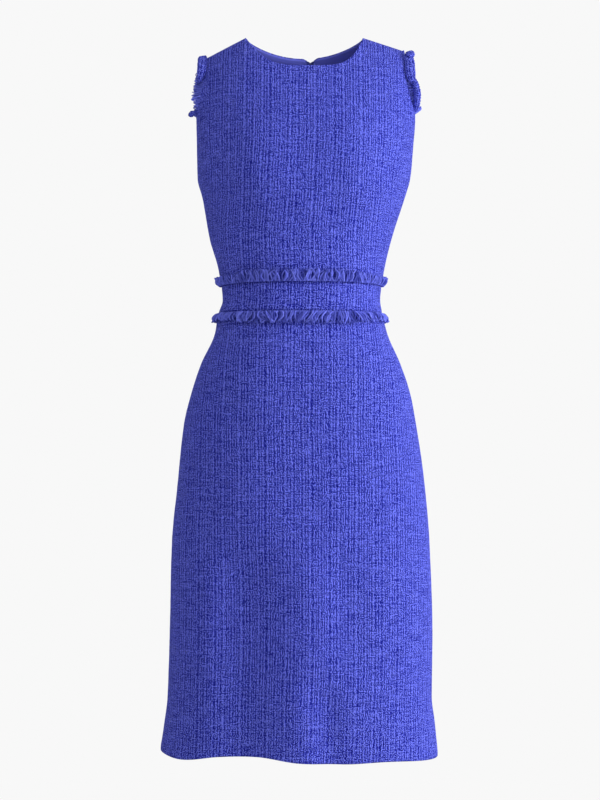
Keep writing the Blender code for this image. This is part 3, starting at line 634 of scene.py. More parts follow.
@dataclass(frozen=True)
class Weave:
    """How the tweed's warp ribs lie: their mean pitch, and how they crowd together and part."""

    pitch: float = 0.0042
    crowding: tuple[tuple[float, float, float], ...] = ((0.22, 0.0313, 0.6), (0.17, 0.0123, 2.1))

    def lane(self, across: Array) -> Array:
        """Counts the ribs across the cloth.

        Args:
            across: Lengths across the weave.

        Returns:
            Numbers of ribs, whole on a rib's top line.
        """
        count = across / self.pitch
        for share, wave, start in self.crowding:
            count = count + share * np.sin(2 * math.pi * across / wave + start)
        return count

    def lane_nodes(self, tree: Tree, across: Socket) -> Socket:
        """The same count in a material.

        Args:
            tree: The material's tree.
            across: The length across the weave.

        Returns:
            The number of ribs.
        """
        count = add_node(tree, MATH, (across, 1 / self.pitch), operation="MULTIPLY")
        for share, wave, start in self.crowding:
            turn = add_node(tree, MATH, (across, 2 * math.pi / wave, start), operation="MULTIPLY_ADD")
            swing = add_node(tree, MATH, (turn,), operation="SINE")
            count = add_node(tree, MATH, (swing, share, count), operation="MULTIPLY_ADD")
        return count


@dataclass(frozen=True)
class SlubRelief:
    """Raised yarns: ribs up the cloth that swell and thin, and fainter slubs across it."""

    weave: Weave = Weave()
    swell: float = 0.008  # length over which a warp yarn thickens or thins
    weft_pitch: float = 0.0125
    weft_half: float = 0.0014
    weft_swell: float = 0.034
    weft_share: float = 0.8
    height: float = 0.00038
    weft_wander: float = 0.35  # how far a slub strays from its even place, as a share of the pitch
    weft_gain: Pair = (2.2, 0.5)  # a slub shows where its thickness times the first passes the second
    rib_shape: float = 1.2  # above 1, the ribs are narrower than the hollows between them
    thinnest: float = 0.22  # a rib's least height, as a share
    thin_yarn: float = 0.35  # the thinnest yarn's thickness, as a share
    seed: int = 11
    yarns: int = 257

    def thickness(self, yarn: Array, along: Array, swell: float, seed: int) -> Array:
        """How thick yarns are along their length.

        Args:
            yarn: Each point's yarn, by number.
            along: Its place along the yarn.
            swell: The length over which it changes.
            seed: Seed of the random thicknesses.

        Returns:
            Thicknesses from 0 to 1.
        """
        draw = np.random.default_rng(seed)
        table = draw.uniform(0, 1, (self.yarns, self.yarns)) * draw.uniform(self.thin_yarn, 1, (self.yarns, 1))
        place = along / swell + 1000  # never below 0
        base = place.astype(int)
        t = place - base
        t = t * t * (3 - 2 * t)
        yarn = yarn % self.yarns
        return table[yarn, base % self.yarns] * (1 - t) + table[yarn, (base + 1) % self.yarns] * t

    def read(self, cloth: Cloth) -> Array:
        """The relief over a piece of cloth, from 0 to 1."""
        seed = self.seed + (0 if cloth.face is Face.FRONT else 5)
        lane = self.weave.lane(cloth.u)
        rib = (0.5 + 0.5 * np.cos(2 * math.pi * lane)) ** self.rib_shape
        thickness = self.thickness(np.rint(lane).astype(int), cloth.v, self.swell, seed)
        warp = rib * (self.thinnest + (1 - self.thinnest) * thickness)
        weft = np.zeros_like(warp)
        offset = np.random.default_rng(seed + 1).uniform(-self.weft_wander, self.weft_wander, self.yarns)
        first = np.floor(cloth.v / self.weft_pitch).astype(int)
        for step in (-1, 0, 1):
            yarn = first + step
            middle = (yarn + 0.5 + offset[yarn % self.yarns]) * self.weft_pitch
            thickness = self.thickness(yarn, cloth.u, self.weft_swell, seed + 2)
            size = np.clip(self.weft_gain[0] * thickness - self.weft_gain[1], 0, 1)
            weft = np.maximum(weft, size * np.exp(-(((cloth.v - middle) / self.weft_half) ** 2)))
        return np.maximum(warp, self.weft_share * weft)


@dataclass
class ClothCutter:
    """Cuts cloth on the form, and turns it into closed walls."""

    form: DressForm
    relief: SlubRelief
    wall: float = 0.002
    edge_roll: float = 0.0004  # how far the outer face rolls in along its edges
    inner_step: int = 4  # the inner face has one column and row for this many of the outer face's
    droop: float = 0.020  # how far the weft hangs down at the chest's sides
    droop_reach: float = 0.12
    droop_heights: Pair = (0.02, 0.16)  # heights above the waist between which it sets in
    straight_drop: float = 0.125  # above this drop the ribs run straight up
    straight_fade: float = 0.08
    arm_angles: Pair = (0.95, 1.40)  # between these angles and drops, under the arms, they turn with the cloth
    arm_drops: Pair = (0.060, 0.100)
    row_crowd: float = 1.25  # above 1, a bodice's rows crowd together towards its top edge
    edge_hold: float = 0.6  # share of a bodice column over which it bends from the top edge to its even place

    def cut(self, face: Face, side: Side, angles: Array, drops: Array, seams: tuple[bool, bool],
            shoulder: Sequence[int] = ()) -> Cloth:
        """Lays a panel on the form, with its edges half a gap back from its seams.

        Args:
            face: The front or the back.
            side: WHOLE for a front panel.
            angles: Grid of angles.
            drops: Grid of drops.
            seams: Whether its top and bottom rows are level seams.
            shoulder: The columns whose top end lies on a shoulder seam.

        Returns:
            The cloth.
        """
        points = self.form.point(face, angles, drops)
        normals = self.form.normal(face, angles, drops)
        gap = self.form.seam / 2
        for column, is_edge in ((0, side is not Side.LEFT), (-1, side is not Side.RIGHT)):
            if is_edge:
                points[:, column, Y_AXIS] = face.outward * gap
            normals[:, column, Y_AXIS if is_edge else X_AXIS] = 0
        for column in shoulder:
            points[0, column, Y_AXIS] = face.outward * gap
            normals[0, column, Y_AXIS] = 0
        for row, is_seam, sign in ((0, seams[0], -1), (-1, seams[1], 1)):
            if is_seam:
                points[row, :, Z_AXIS] += sign * gap
                normals[row, :, Z_AXIS] = 0
        u = self.form.length_at(face, angles, drops) - self.form.length_at(face, 0.0, drops)
        chest = self.straight_drop
        level = self.form.angle_at(points[..., X_AXIS], chest)
        straight = self.form.length_at(face, level, chest) - self.form.length_at(face, 0.0, chest)
        under_arm = fade(np.abs(angles), *self.arm_angles) * fade(drops, *self.arm_drops)
        straight = straight + (u - straight) * under_arm
        u = straight + (u - straight) * fade(drops, chest, chest + self.straight_fade)
        return Cloth(face, side, points, unit(normals), u, self.height_up(points, drops))

    def height_up(self, points: Array, drops: Array) -> Array:
        """Length up the weave from the waist's top edge.

        Args:
            points: The panel's points.
            drops: Their drops.

        Returns:
            Lengths along the cloth. A bodice's weft hangs down a little at the chest's sides.
        """
        steps = np.hypot(np.diff(points[..., Y_AXIS], axis=0), np.diff(points[..., Z_AXIS], axis=0))
        down = np.concatenate((np.zeros_like(steps[:1]), np.cumsum(steps, axis=0)))
        if drops[-1].max() > self.form.waist_top:
            return self.form.waist_top - drops[:1] - down
        chest = fade(self.form.waist_top - drops, *self.droop_heights)
        return down[-1:] - down + self.droop * chest * (1 - np.exp(-((points[..., X_AXIS] / self.droop_reach) ** 2)))

    def level(self, face: Face, side: Side, drops: Array, columns: int, hem: bool) -> Cloth:
        """Cuts a waistband or skirt panel.

        Args:
            face: The front or the back.
            side: WHOLE for a front panel.
            drops: The rows' drops.
            columns: How many columns it has.
            hem: Whether the last row follows the hem.

        Returns:
            The cloth.
        """
        shares = np.linspace(0, 1, columns + 1)
        levels = np.repeat(np.asarray(drops, float)[:, None], columns + 1, axis=1)
        angles = self.form.spread(face, side, levels, shares[None])
        if hem:
            x = self.form.point(face, angles, levels)[..., X_AXIS]
            top = self.form.waist_bottom
            stretch = (self.form.hem_line[face](x) - top) / (self.form.length - top)
            levels = top + (levels - top) * stretch
        return self.cut(face, side, angles, levels, (True, not hem))

    def bodice(self, face: Face, side: Side, counts: tuple[int, int, int], rows: int) -> Cloth:
        """Cuts a bodice panel, whose columns run from its top edges down to the waist.

        Args:
            face: The front or the back.
            side: WHOLE for the front panel.
            counts: Columns along an armhole, a shoulder seam and the neckline of this panel.
            rows: How many rows it has.

        Returns:
            The cloth.
        """
        arm, shoulder, neck = counts
        on_shoulder = list(range(arm, arm + shoulder + 1))
        edges = {}
        for own in (Side.RIGHT, Side.LEFT):
            parts = (self.form.armhole_edge(own, arm), self.form.shoulder_edge(own, shoulder))
            edges[own] = [np.concatenate([part[i] for part in parts]) for i in (0, 1)]
        line = self.form.neck_edge(face, side, neck)
        if side is Side.WHOLE:
            angles, drops = (
                np.concatenate((edges[Side.RIGHT][i], line[i][:-1], edges[Side.LEFT][i][::-1])) for i in (0, 1)
            )
            on_shoulder += [len(angles) - 1 - column for column in on_shoulder]
        else:
            angles, drops = (np.concatenate((edges[side][i], line[i])) for i in (0, 1))
            if side is Side.LEFT:
                angles, drops = angles[::-1], drops[::-1]
                on_shoulder = [len(angles) - 1 - column for column in on_shoulder]
        shares = self.chest_shares(face, side, angles, arm)
        height = (np.linspace(0, 1, rows + 1) ** self.row_crowd)[:, None]
        levels = drops + (self.form.waist_top - drops) * height
        even = self.form.spread(face, side, levels, shares[None])
        free = np.ones_like(angles)
        if side is not Side.WHOLE:
            free[0 if side is Side.LEFT else -1] = 0
        blend = free * (1 - fade(height, 0.0, self.edge_hold))
        return self.cut(face, side, even + (angles - even) * blend, levels, (False, True), on_shoulder)

    def chest_shares(self, face: Face, side: Side, angles: Array, arm: int) -> Array:
        """Where a bodice panel's columns cross the chest, as shares of its width there.

        Args:
            face: The front or the back.
            side: WHOLE for the front panel.
            angles: The columns' angles at the top edge.
            arm: How many of them start along each armhole.

        Returns:
            The shares, evenly spread under the armholes.
        """
        chest = self.form.chest
        start, end = self.form.span(face, side, chest)
        first, last = self.form.length_at(face, start, chest), self.form.length_at(face, end, chest)
        shares = (self.form.length_at(face, angles, chest) - first) / (last - first)
        if side is not Side.LEFT:
            shares[: arm + 1] = np.linspace(0, shares[arm], arm + 1)
        if side is not Side.RIGHT:
            inner = len(shares) - 1 - arm
            shares[inner:] = np.linspace(shares[inner], 1, arm + 1)
        if side is Side.LEFT:
            shares[0] = 0
        if side is Side.RIGHT:
            shares[-1] = 1
        return shares

    def sew(self, name: str, cloth: Cloth, material: Material) -> Piece:
        """Makes a closed wall: a fine outer face with its relief, a plain inner face and rounded edges.

        Args:
            name: The piece's name.
            cloth: Its cloth, whose row and column counts less one are multiples of inner_step.
            material: Its material.

        Returns:
            The piece.
        """
        rows, columns = cloth.points.shape[:2]
        relief = self.relief.read(cloth)
        from_edge = (np.minimum(np.arange(count), np.arange(count)[::-1]) for count in (rows, columns))
        inside = np.clip(np.minimum.outer(*from_edge) / 2, 0, 1)
        lift = self.relief.height * relief * inside - self.edge_roll * (1 - inside) ** 2
        outer = cloth.points + lift[..., None] * cloth.normals
        index = np.arange(rows * columns).reshape(rows, columns)
        ring = self.border(index)
        flat_points, flat_normals = cloth.points.reshape(-1, 3), cloth.normals.reshape(-1, 3)
        rim = flat_points[ring] - self.wall / 2 * flat_normals[ring]
        step = self.inner_step
        inner_points = cloth.points[::step, ::step] - self.wall * cloth.normals[::step, ::step]
        inner_index = rows * columns + len(ring) + np.arange(inner_points[..., 0].size)
        inner_index = inner_index.reshape(inner_points.shape[:2])
        faces = self.quads(index).tolist() + self.quads(inner_index)[:, ::-1].tolist()
        inner_ring = self.border(inner_index).tolist()
        rim_index = rows * columns + np.arange(len(ring))
        faces += np.stack((np.roll(ring, -1), ring, rim_index, np.roll(rim_index, -1)), axis=-1).tolist()
        for k, corner in enumerate(inner_ring):
            stretch = rim_index.take(range(k * step, (k + 1) * step + 1), mode="wrap").tolist()
            faces.append([*stretch[::-1], corner, inner_ring[(k + 1) % len(inner_ring)]])
        if cloth.face is Face.FRONT:
            faces = [face[::-1] for face in faces]
        points = np.concatenate((outer.reshape(-1, 3), rim, inner_points.reshape(-1, 3)))
        weave = np.stack((cloth.u, cloth.v), axis=-1)
        uvs = np.concatenate(
            (weave.reshape(-1, 2), weave.reshape(-1, 2)[ring], weave[::step, ::step].reshape(-1, 2))
        )
        # the relief's height, kept for the tweed to paint as a highlight on raised yarn and as shade in the hollows
        slub = np.concatenate(((relief * inside).reshape(-1), np.zeros(len(points) - rows * columns)))
        values = {"slub": slub} if self.relief.height else None
        return mesh_piece(name, points, faces, material, uvs, values)

    @staticmethod
    def border(index: Array) -> Array:
        """The vertex numbers round a grid, from its first corner."""
        return np.concatenate((index[0], index[1:, -1], index[-1, -2::-1], index[-2:0:-1, 0]))

    @staticmethod
    def quads(index: Array) -> Array:
        """The four corners of each cell of a grid of vertex numbers."""
        corners = (index[:-1, :-1], index[:-1, 1:], index[1:, 1:], index[1:, :-1])
        return np.stack(corners, axis=-1).reshape(-1, 4)


def mesh_piece(name: str, points: Array, faces: Sequence[Sequence[int]], material: Material,
               uvs: Array | None = None, values: dict[str, Array] | None = None) -> Piece:
    """Makes a smooth-shaded object from points and faces.

    Args:
        name: The piece's name.
        points: Its vertices.
        faces: Its faces, by vertex number, pointing out.
        material: Its material.
        uvs: A place on the weave for each vertex.
        values: More numbers for each vertex, by attribute name.

    Returns:
        The piece, linked to the scene.
    """
    mesh = bpy.data.meshes.new(name)
    mesh.from_pydata(points.tolist(), [], faces)
    mesh.materials.append(material)
    if uvs is not None:
        layer = mesh.uv_layers.new(name="weave")
        corners = np.empty(len(mesh.loops), dtype=np.int64)
        mesh.loops.foreach_get("vertex_index", corners)
        layer.data.foreach_set("uv", uvs[corners].astype(np.float32).ravel())
    for key, numbers in (values or {}).items():
        mesh.attributes.new(key, "FLOAT", "POINT").data.foreach_set("value", numbers.astype(np.float32))
    mesh.shade_smooth()
    return placed(name, mesh)


# Finishes


def new_material(name: str) -> tuple[Material, Tree, bpy.types.Node]:
    """Makes a material.

    Args:
        name: Its name.

    Returns:
        The material, its tree and its shader.
    """
    material = bpy.data.materials.new(name)
    material.use_nodes = True
    return material, material.node_tree, material.node_tree.nodes["Principled BSDF"]


@dataclass(frozen=True)
class Tweed:
    """Slub tweed, woven from matte cotton and acrylic yarn and unbrushed: no gloss, ribs of small nubs, and pits
    between them. Its colour is partly painted light: a painted highlight on the raised nubs and ribs and a painted
    shade in the pits, set by the relief's height and mixed with the yarns' own random tone."""

    name: str = "slub_tweed"
    # the ramp's colours: a painted shade for the pits, the cloth's own colour, and a painted highlight for the raised
    # nubs
    pit: str = "070F90"
    body: str = "333FC2"
    nub: str = "7781FF"
    stops: tuple[float, float, float] = (0.28, 0.53, 0.82)
    rib: float = 0.40
    slub: float = 0.26
    bump: float = 0.00085
    roughness: float = 0.94
    specular: float = 0.25
    sheen: float = 0.04
    sheen_roughness: float = 0.5
    sheen_tint: str = "A6AAF4"
    weave: Weave = Weave()
    # width, height, detail and share of each grain. The real yarns are 0.8 mm thick; these are as coarse as
    # they need to be to show
    grains: tuple[tuple[float, float, float, float], ...] = (
        (0.00145, 0.00155, 0.0, 2.0),
        (0.0022, 0.0100, 1.0, 0.66),
        (0.030, 0.0016, 1.0, 0.76),
    )

    def material(self) -> Material:
        """Builds the material on the piece's weave map and its slub attribute."""
        material, tree, shader = new_material(self.name)
        weave = add_node(tree, "ShaderNodeUVMap", uv_map="weave")
        across = add_node(tree, "ShaderNodeSeparateXYZ", (weave,))
        turn = add_node(tree, MATH, (self.weave.lane_nodes(tree, across), 2 * math.pi), operation="MULTIPLY")
        rib = add_node(tree, MATH, (turn,), operation="COSINE")
        height = add_node(tree, MATH, (rib, self.rib / 2, 0.5), operation="MULTIPLY_ADD")
        for number, (wide, tall, detail, share) in enumerate(self.grains):
            place = add_node(tree, "ShaderNodeMapping", {
                "Vector": weave, "Location": (number * 7.0, number * 3.0, 0.0), "Scale": (1 / wide, 1 / tall, 1.0),
            })
            grain = add_node(tree, NOISE, {"Vector": place, "Scale": 1.0, "Detail": detail}, noise_dimensions="2D")
            # Builds the material on the piece's weave map and on the attribute of its raised yarns' height, which it
            # turns into painted highlight and painted shade.
            centred = add_node(tree, MATH, (grain, 0.5), operation="SUBTRACT")
            height = add_node(tree, MATH, (centred, share, height), operation="MULTIPLY_ADD")
        # painted highlight and shade: as the relief rises, the ramp runs from the pits' painted shade to the nubs'
        # painted highlight, with the grains' random tone mixed in
        slub = add_node(tree, "ShaderNodeAttribute", attribute_name="slub").node.outputs["Fac"]
        shade = add_node(tree, MATH, (slub, self.slub, height), operation="MULTIPLY_ADD")
        ramp = add_node(tree, "ShaderNodeValToRGB", {"Fac": shade})
        elements = ramp.node.color_ramp.elements
        elements.new(0.5)
        for element, stop, colour in zip(elements, self.stops, (self.pit, self.body, self.nub)):
            element.position = stop
            element.color = linear(colour)
        bump = add_node(tree, "ShaderNodeBump", {"Height": height, "Strength": 1.0, "Distance": self.bump})
        feed(shader, {
            "Base Color": ramp, "Normal": bump, "Roughness": self.roughness,
            "Specular IOR Level": self.specular, "Sheen Weight": self.sheen,
            "Sheen Roughness": self.sheen_roughness, "Sheen Tint": linear(self.sheen_tint),
        })
        return material


@dataclass(frozen=True)
class PlainCloth:
    """A fine plain-woven cloth: smooth to the eye, with a faint thread grain and soft changes of shade."""

    name: str
    light: str
    dark: str
    thread: float = 0.0009  # the real threads are 0.3 mm apart; coarser here, so that they show
    roughness: float = 0.75
    specular: float = 0.3
    clouds: float = 22.0  # changes of shade about 45 mm across
    detail: float = 1.0
    bump: float = 0.0002
    bump_share: float = 0.35

    def tone(self, tree: Tree, place: Socket) -> Socket:
        """Where the cloth is light and where dark."""
        return add_node(tree, NOISE, {"Vector": place, "Scale": self.clouds, "Detail": self.detail})

    def material(self) -> Material:
        """Builds the material on Object coordinates."""
        material, tree, shader = new_material(self.name)
        place = add_node(tree, "ShaderNodeTexCoord").node.outputs["Object"]
        grain = add_node(tree, NOISE, {"Vector": place, "Scale": 1 / self.thread, "Detail": self.detail})
        colour = add_node(tree, "ShaderNodeMix", {
            "Factor": self.tone(tree, place), 6: linear(self.dark), 7: linear(self.light),
        }, data_type="RGBA").node.outputs[2]
        bump = add_node(tree, "ShaderNodeBump", {
            "Height": grain, "Strength": self.bump_share, "Distance": self.bump,
        })
        feed(shader, {
            "Base Color": colour, "Normal": bump, "Roughness": self.roughness, "Specular IOR Level": self.specular,
        })
        return material


@dataclass(frozen=True)
class FringeYarn(PlainCloth):
    """Frayed ends of the tweed's own yarns: matte and hairy, each a little lighter or darker at random. The under
    layers' yarns keep to the darker tones, a painted shade beneath the thick layer.
    """

    name: str = "frayed_yarn"
    light: str = "7F89FF"
    dark: str = "1C2490"
    thread: float = 0.0007
    roughness: float = 0.95
    specular: float = 0.2
    detail: float = 2.0
    bump: float = 0.0003
    bump_share: float = 0.6

    def tone(self, tree: Tree, place: Socket) -> Socket:
        """Each yarn's own random number."""
        return add_node(tree, "ShaderNodeAttribute", attribute_name="yarn").node.outputs["Fac"]


@dataclass(frozen=True)
class Satin:
    """Plated metal, or moulded nylon where metallic is 0: a soft gloss with fine marks of handling."""

    name: str
    colour: str
    roughness: float
    metallic: float = 1.0
    marks: float = 900.0  # marks about 1 mm across
    smoother: float = 0.08  # how far the roughness strays down and up at the marks
    rougher: float = 0.12

    def material(self) -> Material:
        """Builds the material on Object coordinates."""
        material, tree, shader = new_material(self.name)
        place = add_node(tree, "ShaderNodeTexCoord").node.outputs["Object"]
        marks = add_node(tree, NOISE, {"Vector": place, "Scale": self.marks, "Detail": 3.0})
        rough = add_node(tree, "ShaderNodeMapRange", {
            "Value": marks, "To Min": self.roughness - self.smoother, "To Max": self.roughness + self.rougher,
        })
        feed(shader, {"Base Color": linear(self.colour), "Metallic": self.metallic, "Roughness": rough})
        return material


class Finishes:
    """One material for each finish."""

    def __init__(self) -> None:
        """Makes them all."""
        self.tweed = Tweed().material()
        self.yarn = FringeYarn().material()
        # The facing's colours are far lighter than the tweed's: a painted light on the inside of the back neck, which
        # the lamps hardly reach.
        self.facing = PlainCloth("facing_cotton", "7880F4", "6870E6").material()
        self.tape = PlainCloth("zip_tape_polyester", "39418F", "30377F", 0.0007).material()
        self.thread = PlainCloth("sewing_thread_polyester", "4048AE", "333B9A", 0.0004, 0.6).material()
        self.coil = Satin("zip_coil_nylon", "3A4296", 0.38, 0.0, 400.0).material()
        self.plated = Satin("plated_zinc", "9A9EB0", 0.33).material()
        self.wire = Satin("japanned_steel_wire", "26283A", 0.4).material()


# Panels


@dataclass
class Panels:
    """The bodice, waistband and skirt: a front panel and two back panels of each."""

    cutter: ClothCutter
    finishes: Finishes
    arm_columns: int = 72
    shoulder_columns: int = 32
    neck_columns: int = 128
    bodice_rows: int = 140
    band_columns: int = 272
    band_rows: int = 16
    skirt_columns: int = 400
    skirt_rows: int = 208
    cloths: dict[str, Cloth] = field(default_factory=dict)

    def build(self) -> dict[str, Piece]:
        """Builds all nine panels.

        Returns:
            The pieces, by the names of the frame's nodes that they stand for.
        """
        form, cutter = self.cutter.form, self.cutter
        band = np.linspace(form.waist_top, form.waist_bottom, self.band_rows + 1)
        skirt = np.linspace(form.waist_bottom, form.length, self.skirt_rows + 1)
        pieces = {}
        for face, side in ((Face.FRONT, Side.WHOLE), (Face.BACK, Side.LEFT), (Face.BACK, Side.RIGHT)):
            part = 1 if side is Side.WHOLE else 2
            tail = "front" if side is Side.WHOLE else f"back_{side.name.lower()}"
            counts = (self.arm_columns, self.shoulder_columns, self.neck_columns // part)
            self.cloths[f"bodice_{tail}"] = cutter.bodice(face, side, counts, self.bodice_rows)
            self.cloths[f"waistband_{tail}"] = cutter.level(face, side, band, self.band_columns // part, False)
            self.cloths[f"skirt_{tail}"] = cutter.level(face, side, skirt, self.skirt_columns // part, True)
        for node, cloth in self.cloths.items():
            pieces[node] = cutter.sew(f"{node}_cloth", cloth, self.finishes.tweed)
        return pieces

    def armhole(self, cloth: Cloth, side: Side) -> tuple[Array, Array]:
        """Points and normals of a bodice panel's armhole edge, from the underarm up."""
        points, normals = cloth.edge(0)
        if side is Side.LEFT:
            points, normals = points[::-1], normals[::-1]
        return points[: self.arm_columns + 1], normals[: self.arm_columns + 1]

    @staticmethod
    def flat_size(cloth: Cloth) -> tuple[Pair, float]:
        """The size that a panel was cut to.

        Args:
            cloth: The panel's cloth.

        Returns:
            The width and length of the smallest rectangle round it, and its own flat area.
        """
        width = float(cloth.u.max() - cloth.u.min())
        length = float(cloth.v.max() - cloth.v.min())
        a, b, c, d = (cloth.points[:-1, :-1], cloth.points[:-1, 1:], cloth.points[1:, 1:], cloth.points[1:, :-1])
        area = 0.5 * float(np.linalg.norm(np.cross(c - a, d - b), axis=-1).sum())
        return (round(width, 3), round(length, 3)), round(min(area, width * length), 4)


# Fringe


@dataclass(frozen=True)
class Growth:
    """How one layer of fringe yarns grows, by the names of the tree's inputs."""

    spacing: float
    thickness: float
    lean: float
    lift_low: float
    lift_high: float
    loops: float
    seed: int
    sides: int
    bends: int
    uneven: float = 0.3
    # the range of each yarn's tone between the fringe's dark and light colours; a layer whose top end is low is
    # painted darker, as painted shade
    dark: float = 0.0
    light: float = 1.0
    reach: float = 0.0175


def fresh_tree(name: str, sizes: type) -> tuple[Tree, dict]:
    """Starts a Geometry Nodes tree.

    Args:
        name: The tree's name.
        sizes: The dataclass whose fields, each a float or an int, are its inputs after the geometry.

    Returns:
        The tree, and its inputs' sockets by name.
    """
    tree = bpy.data.node_groups.new(name, "GeometryNodeTree")
    tree.interface.new_socket("Geometry", in_out="INPUT", socket_type="NodeSocketGeometry")
    for size in fields(sizes):
        kind = "NodeSocketInt" if size.type == "int" else "NodeSocketFloat"
        tree.interface.new_socket(size.name, in_out="INPUT", socket_type=kind)
    tree.interface.new_socket("Geometry", in_out="OUTPUT", socket_type="NodeSocketGeometry")
    given = add_node(tree, "NodeGroupInput").node.outputs
    return tree, {socket.name: socket for socket in given if socket.name}


@dataclass
class Guide:
    """A line that shapes grow from or lie along."""

    points: Array
    out: Array  # out from the cloth
    off: Array | float = 0.0  # the way that yarns grow
    style: Array | float = 1.0  # each point's share of reach, lift and thickness


GUIDE_LAYERS = ("off", "out", "style")


@dataclass
class GuideTree:
    """Geometry Nodes that put shapes along a guide line."""

    material: Material

    def lay(self, name: str, guides: Sequence[Guide], sizes: Growth | Row) -> Piece:
        """Runs the tree on guides, and keeps the result as a plain mesh.

        Args:
            name: The piece's name.
            guides: Its guides.
            sizes: The values of the tree's inputs.

        Returns:
            The piece, linked to the scene.
        """
        mesh = bpy.data.meshes.new(name)
        ends = np.cumsum([len(guide.points) for guide in guides]).tolist()
        edges = [(i - 1, i) for i in range(1, ends[-1]) if i not in ends]
        mesh.from_pydata(np.concatenate([guide.points for guide in guides]).tolist(), edges, [])
        for key in GUIDE_LAYERS:
            vectors = np.concatenate([np.broadcast_to(getattr(guide, key), guide.points.shape) for guide in guides])
            layer = mesh.attributes.new(key, "FLOAT_VECTOR", "POINT")
            layer.data.foreach_set("vector", vectors.astype(np.float32).ravel())
        piece = placed(name, mesh)
        modifier = piece.modifiers.new(self.tree.name, "NODES")
        modifier.node_group = self.tree
        for item in self.tree.interface.items_tree:
            if item.in_out == "INPUT" and hasattr(sizes, item.name):
                modifier[item.identifier] = getattr(sizes, item.name)
        bpy.context.view_layer.update()
        graph = bpy.context.evaluated_depsgraph_get()
        mesh = bpy.data.meshes.new_from_object(
            piece.evaluated_get(graph), preserve_all_data_layers=True, depsgraph=graph
        )
        piece.modifiers.remove(modifier)
        piece.data = mesh
        mesh.shade_smooth()
        for key in [layer.name for layer in mesh.attributes if layer.name in (*GUIDE_LAYERS, "root", "along")]:
            mesh.attributes.remove(mesh.attributes[key])
        return piece

    def places(self, given: dict[str, Socket]) -> Socket:
        """Points at even spacing along the guide.

        Args:
            given: The tree's inputs.

        Returns:
            The points. Their node also has their tangents.
        """
        line = add_node(self.tree, "GeometryNodeMeshToCurve", {"Mesh": given["Geometry"]})
        line = add_node(self.tree, "GeometryNodeResampleCurve", {"Curve": line, "Length": given["spacing"]},
                        mode="LENGTH")
        return add_node(self.tree, "GeometryNodeCurveToPoints", {"Curve": line}, mode="EVALUATED")

    def end(self, shapes: Socket) -> None:
        """Turns the shapes into one mesh with its material, and gives it out."""
        mesh = add_node(self.tree, "GeometryNodeRealizeInstances", {"Geometry": shapes})
        mesh = add_node(self.tree, "GeometryNodeSetMaterial", {"Geometry": mesh, "Material": self.material})
        add_node(self.tree, "NodeGroupOutput", {"Geometry": mesh})


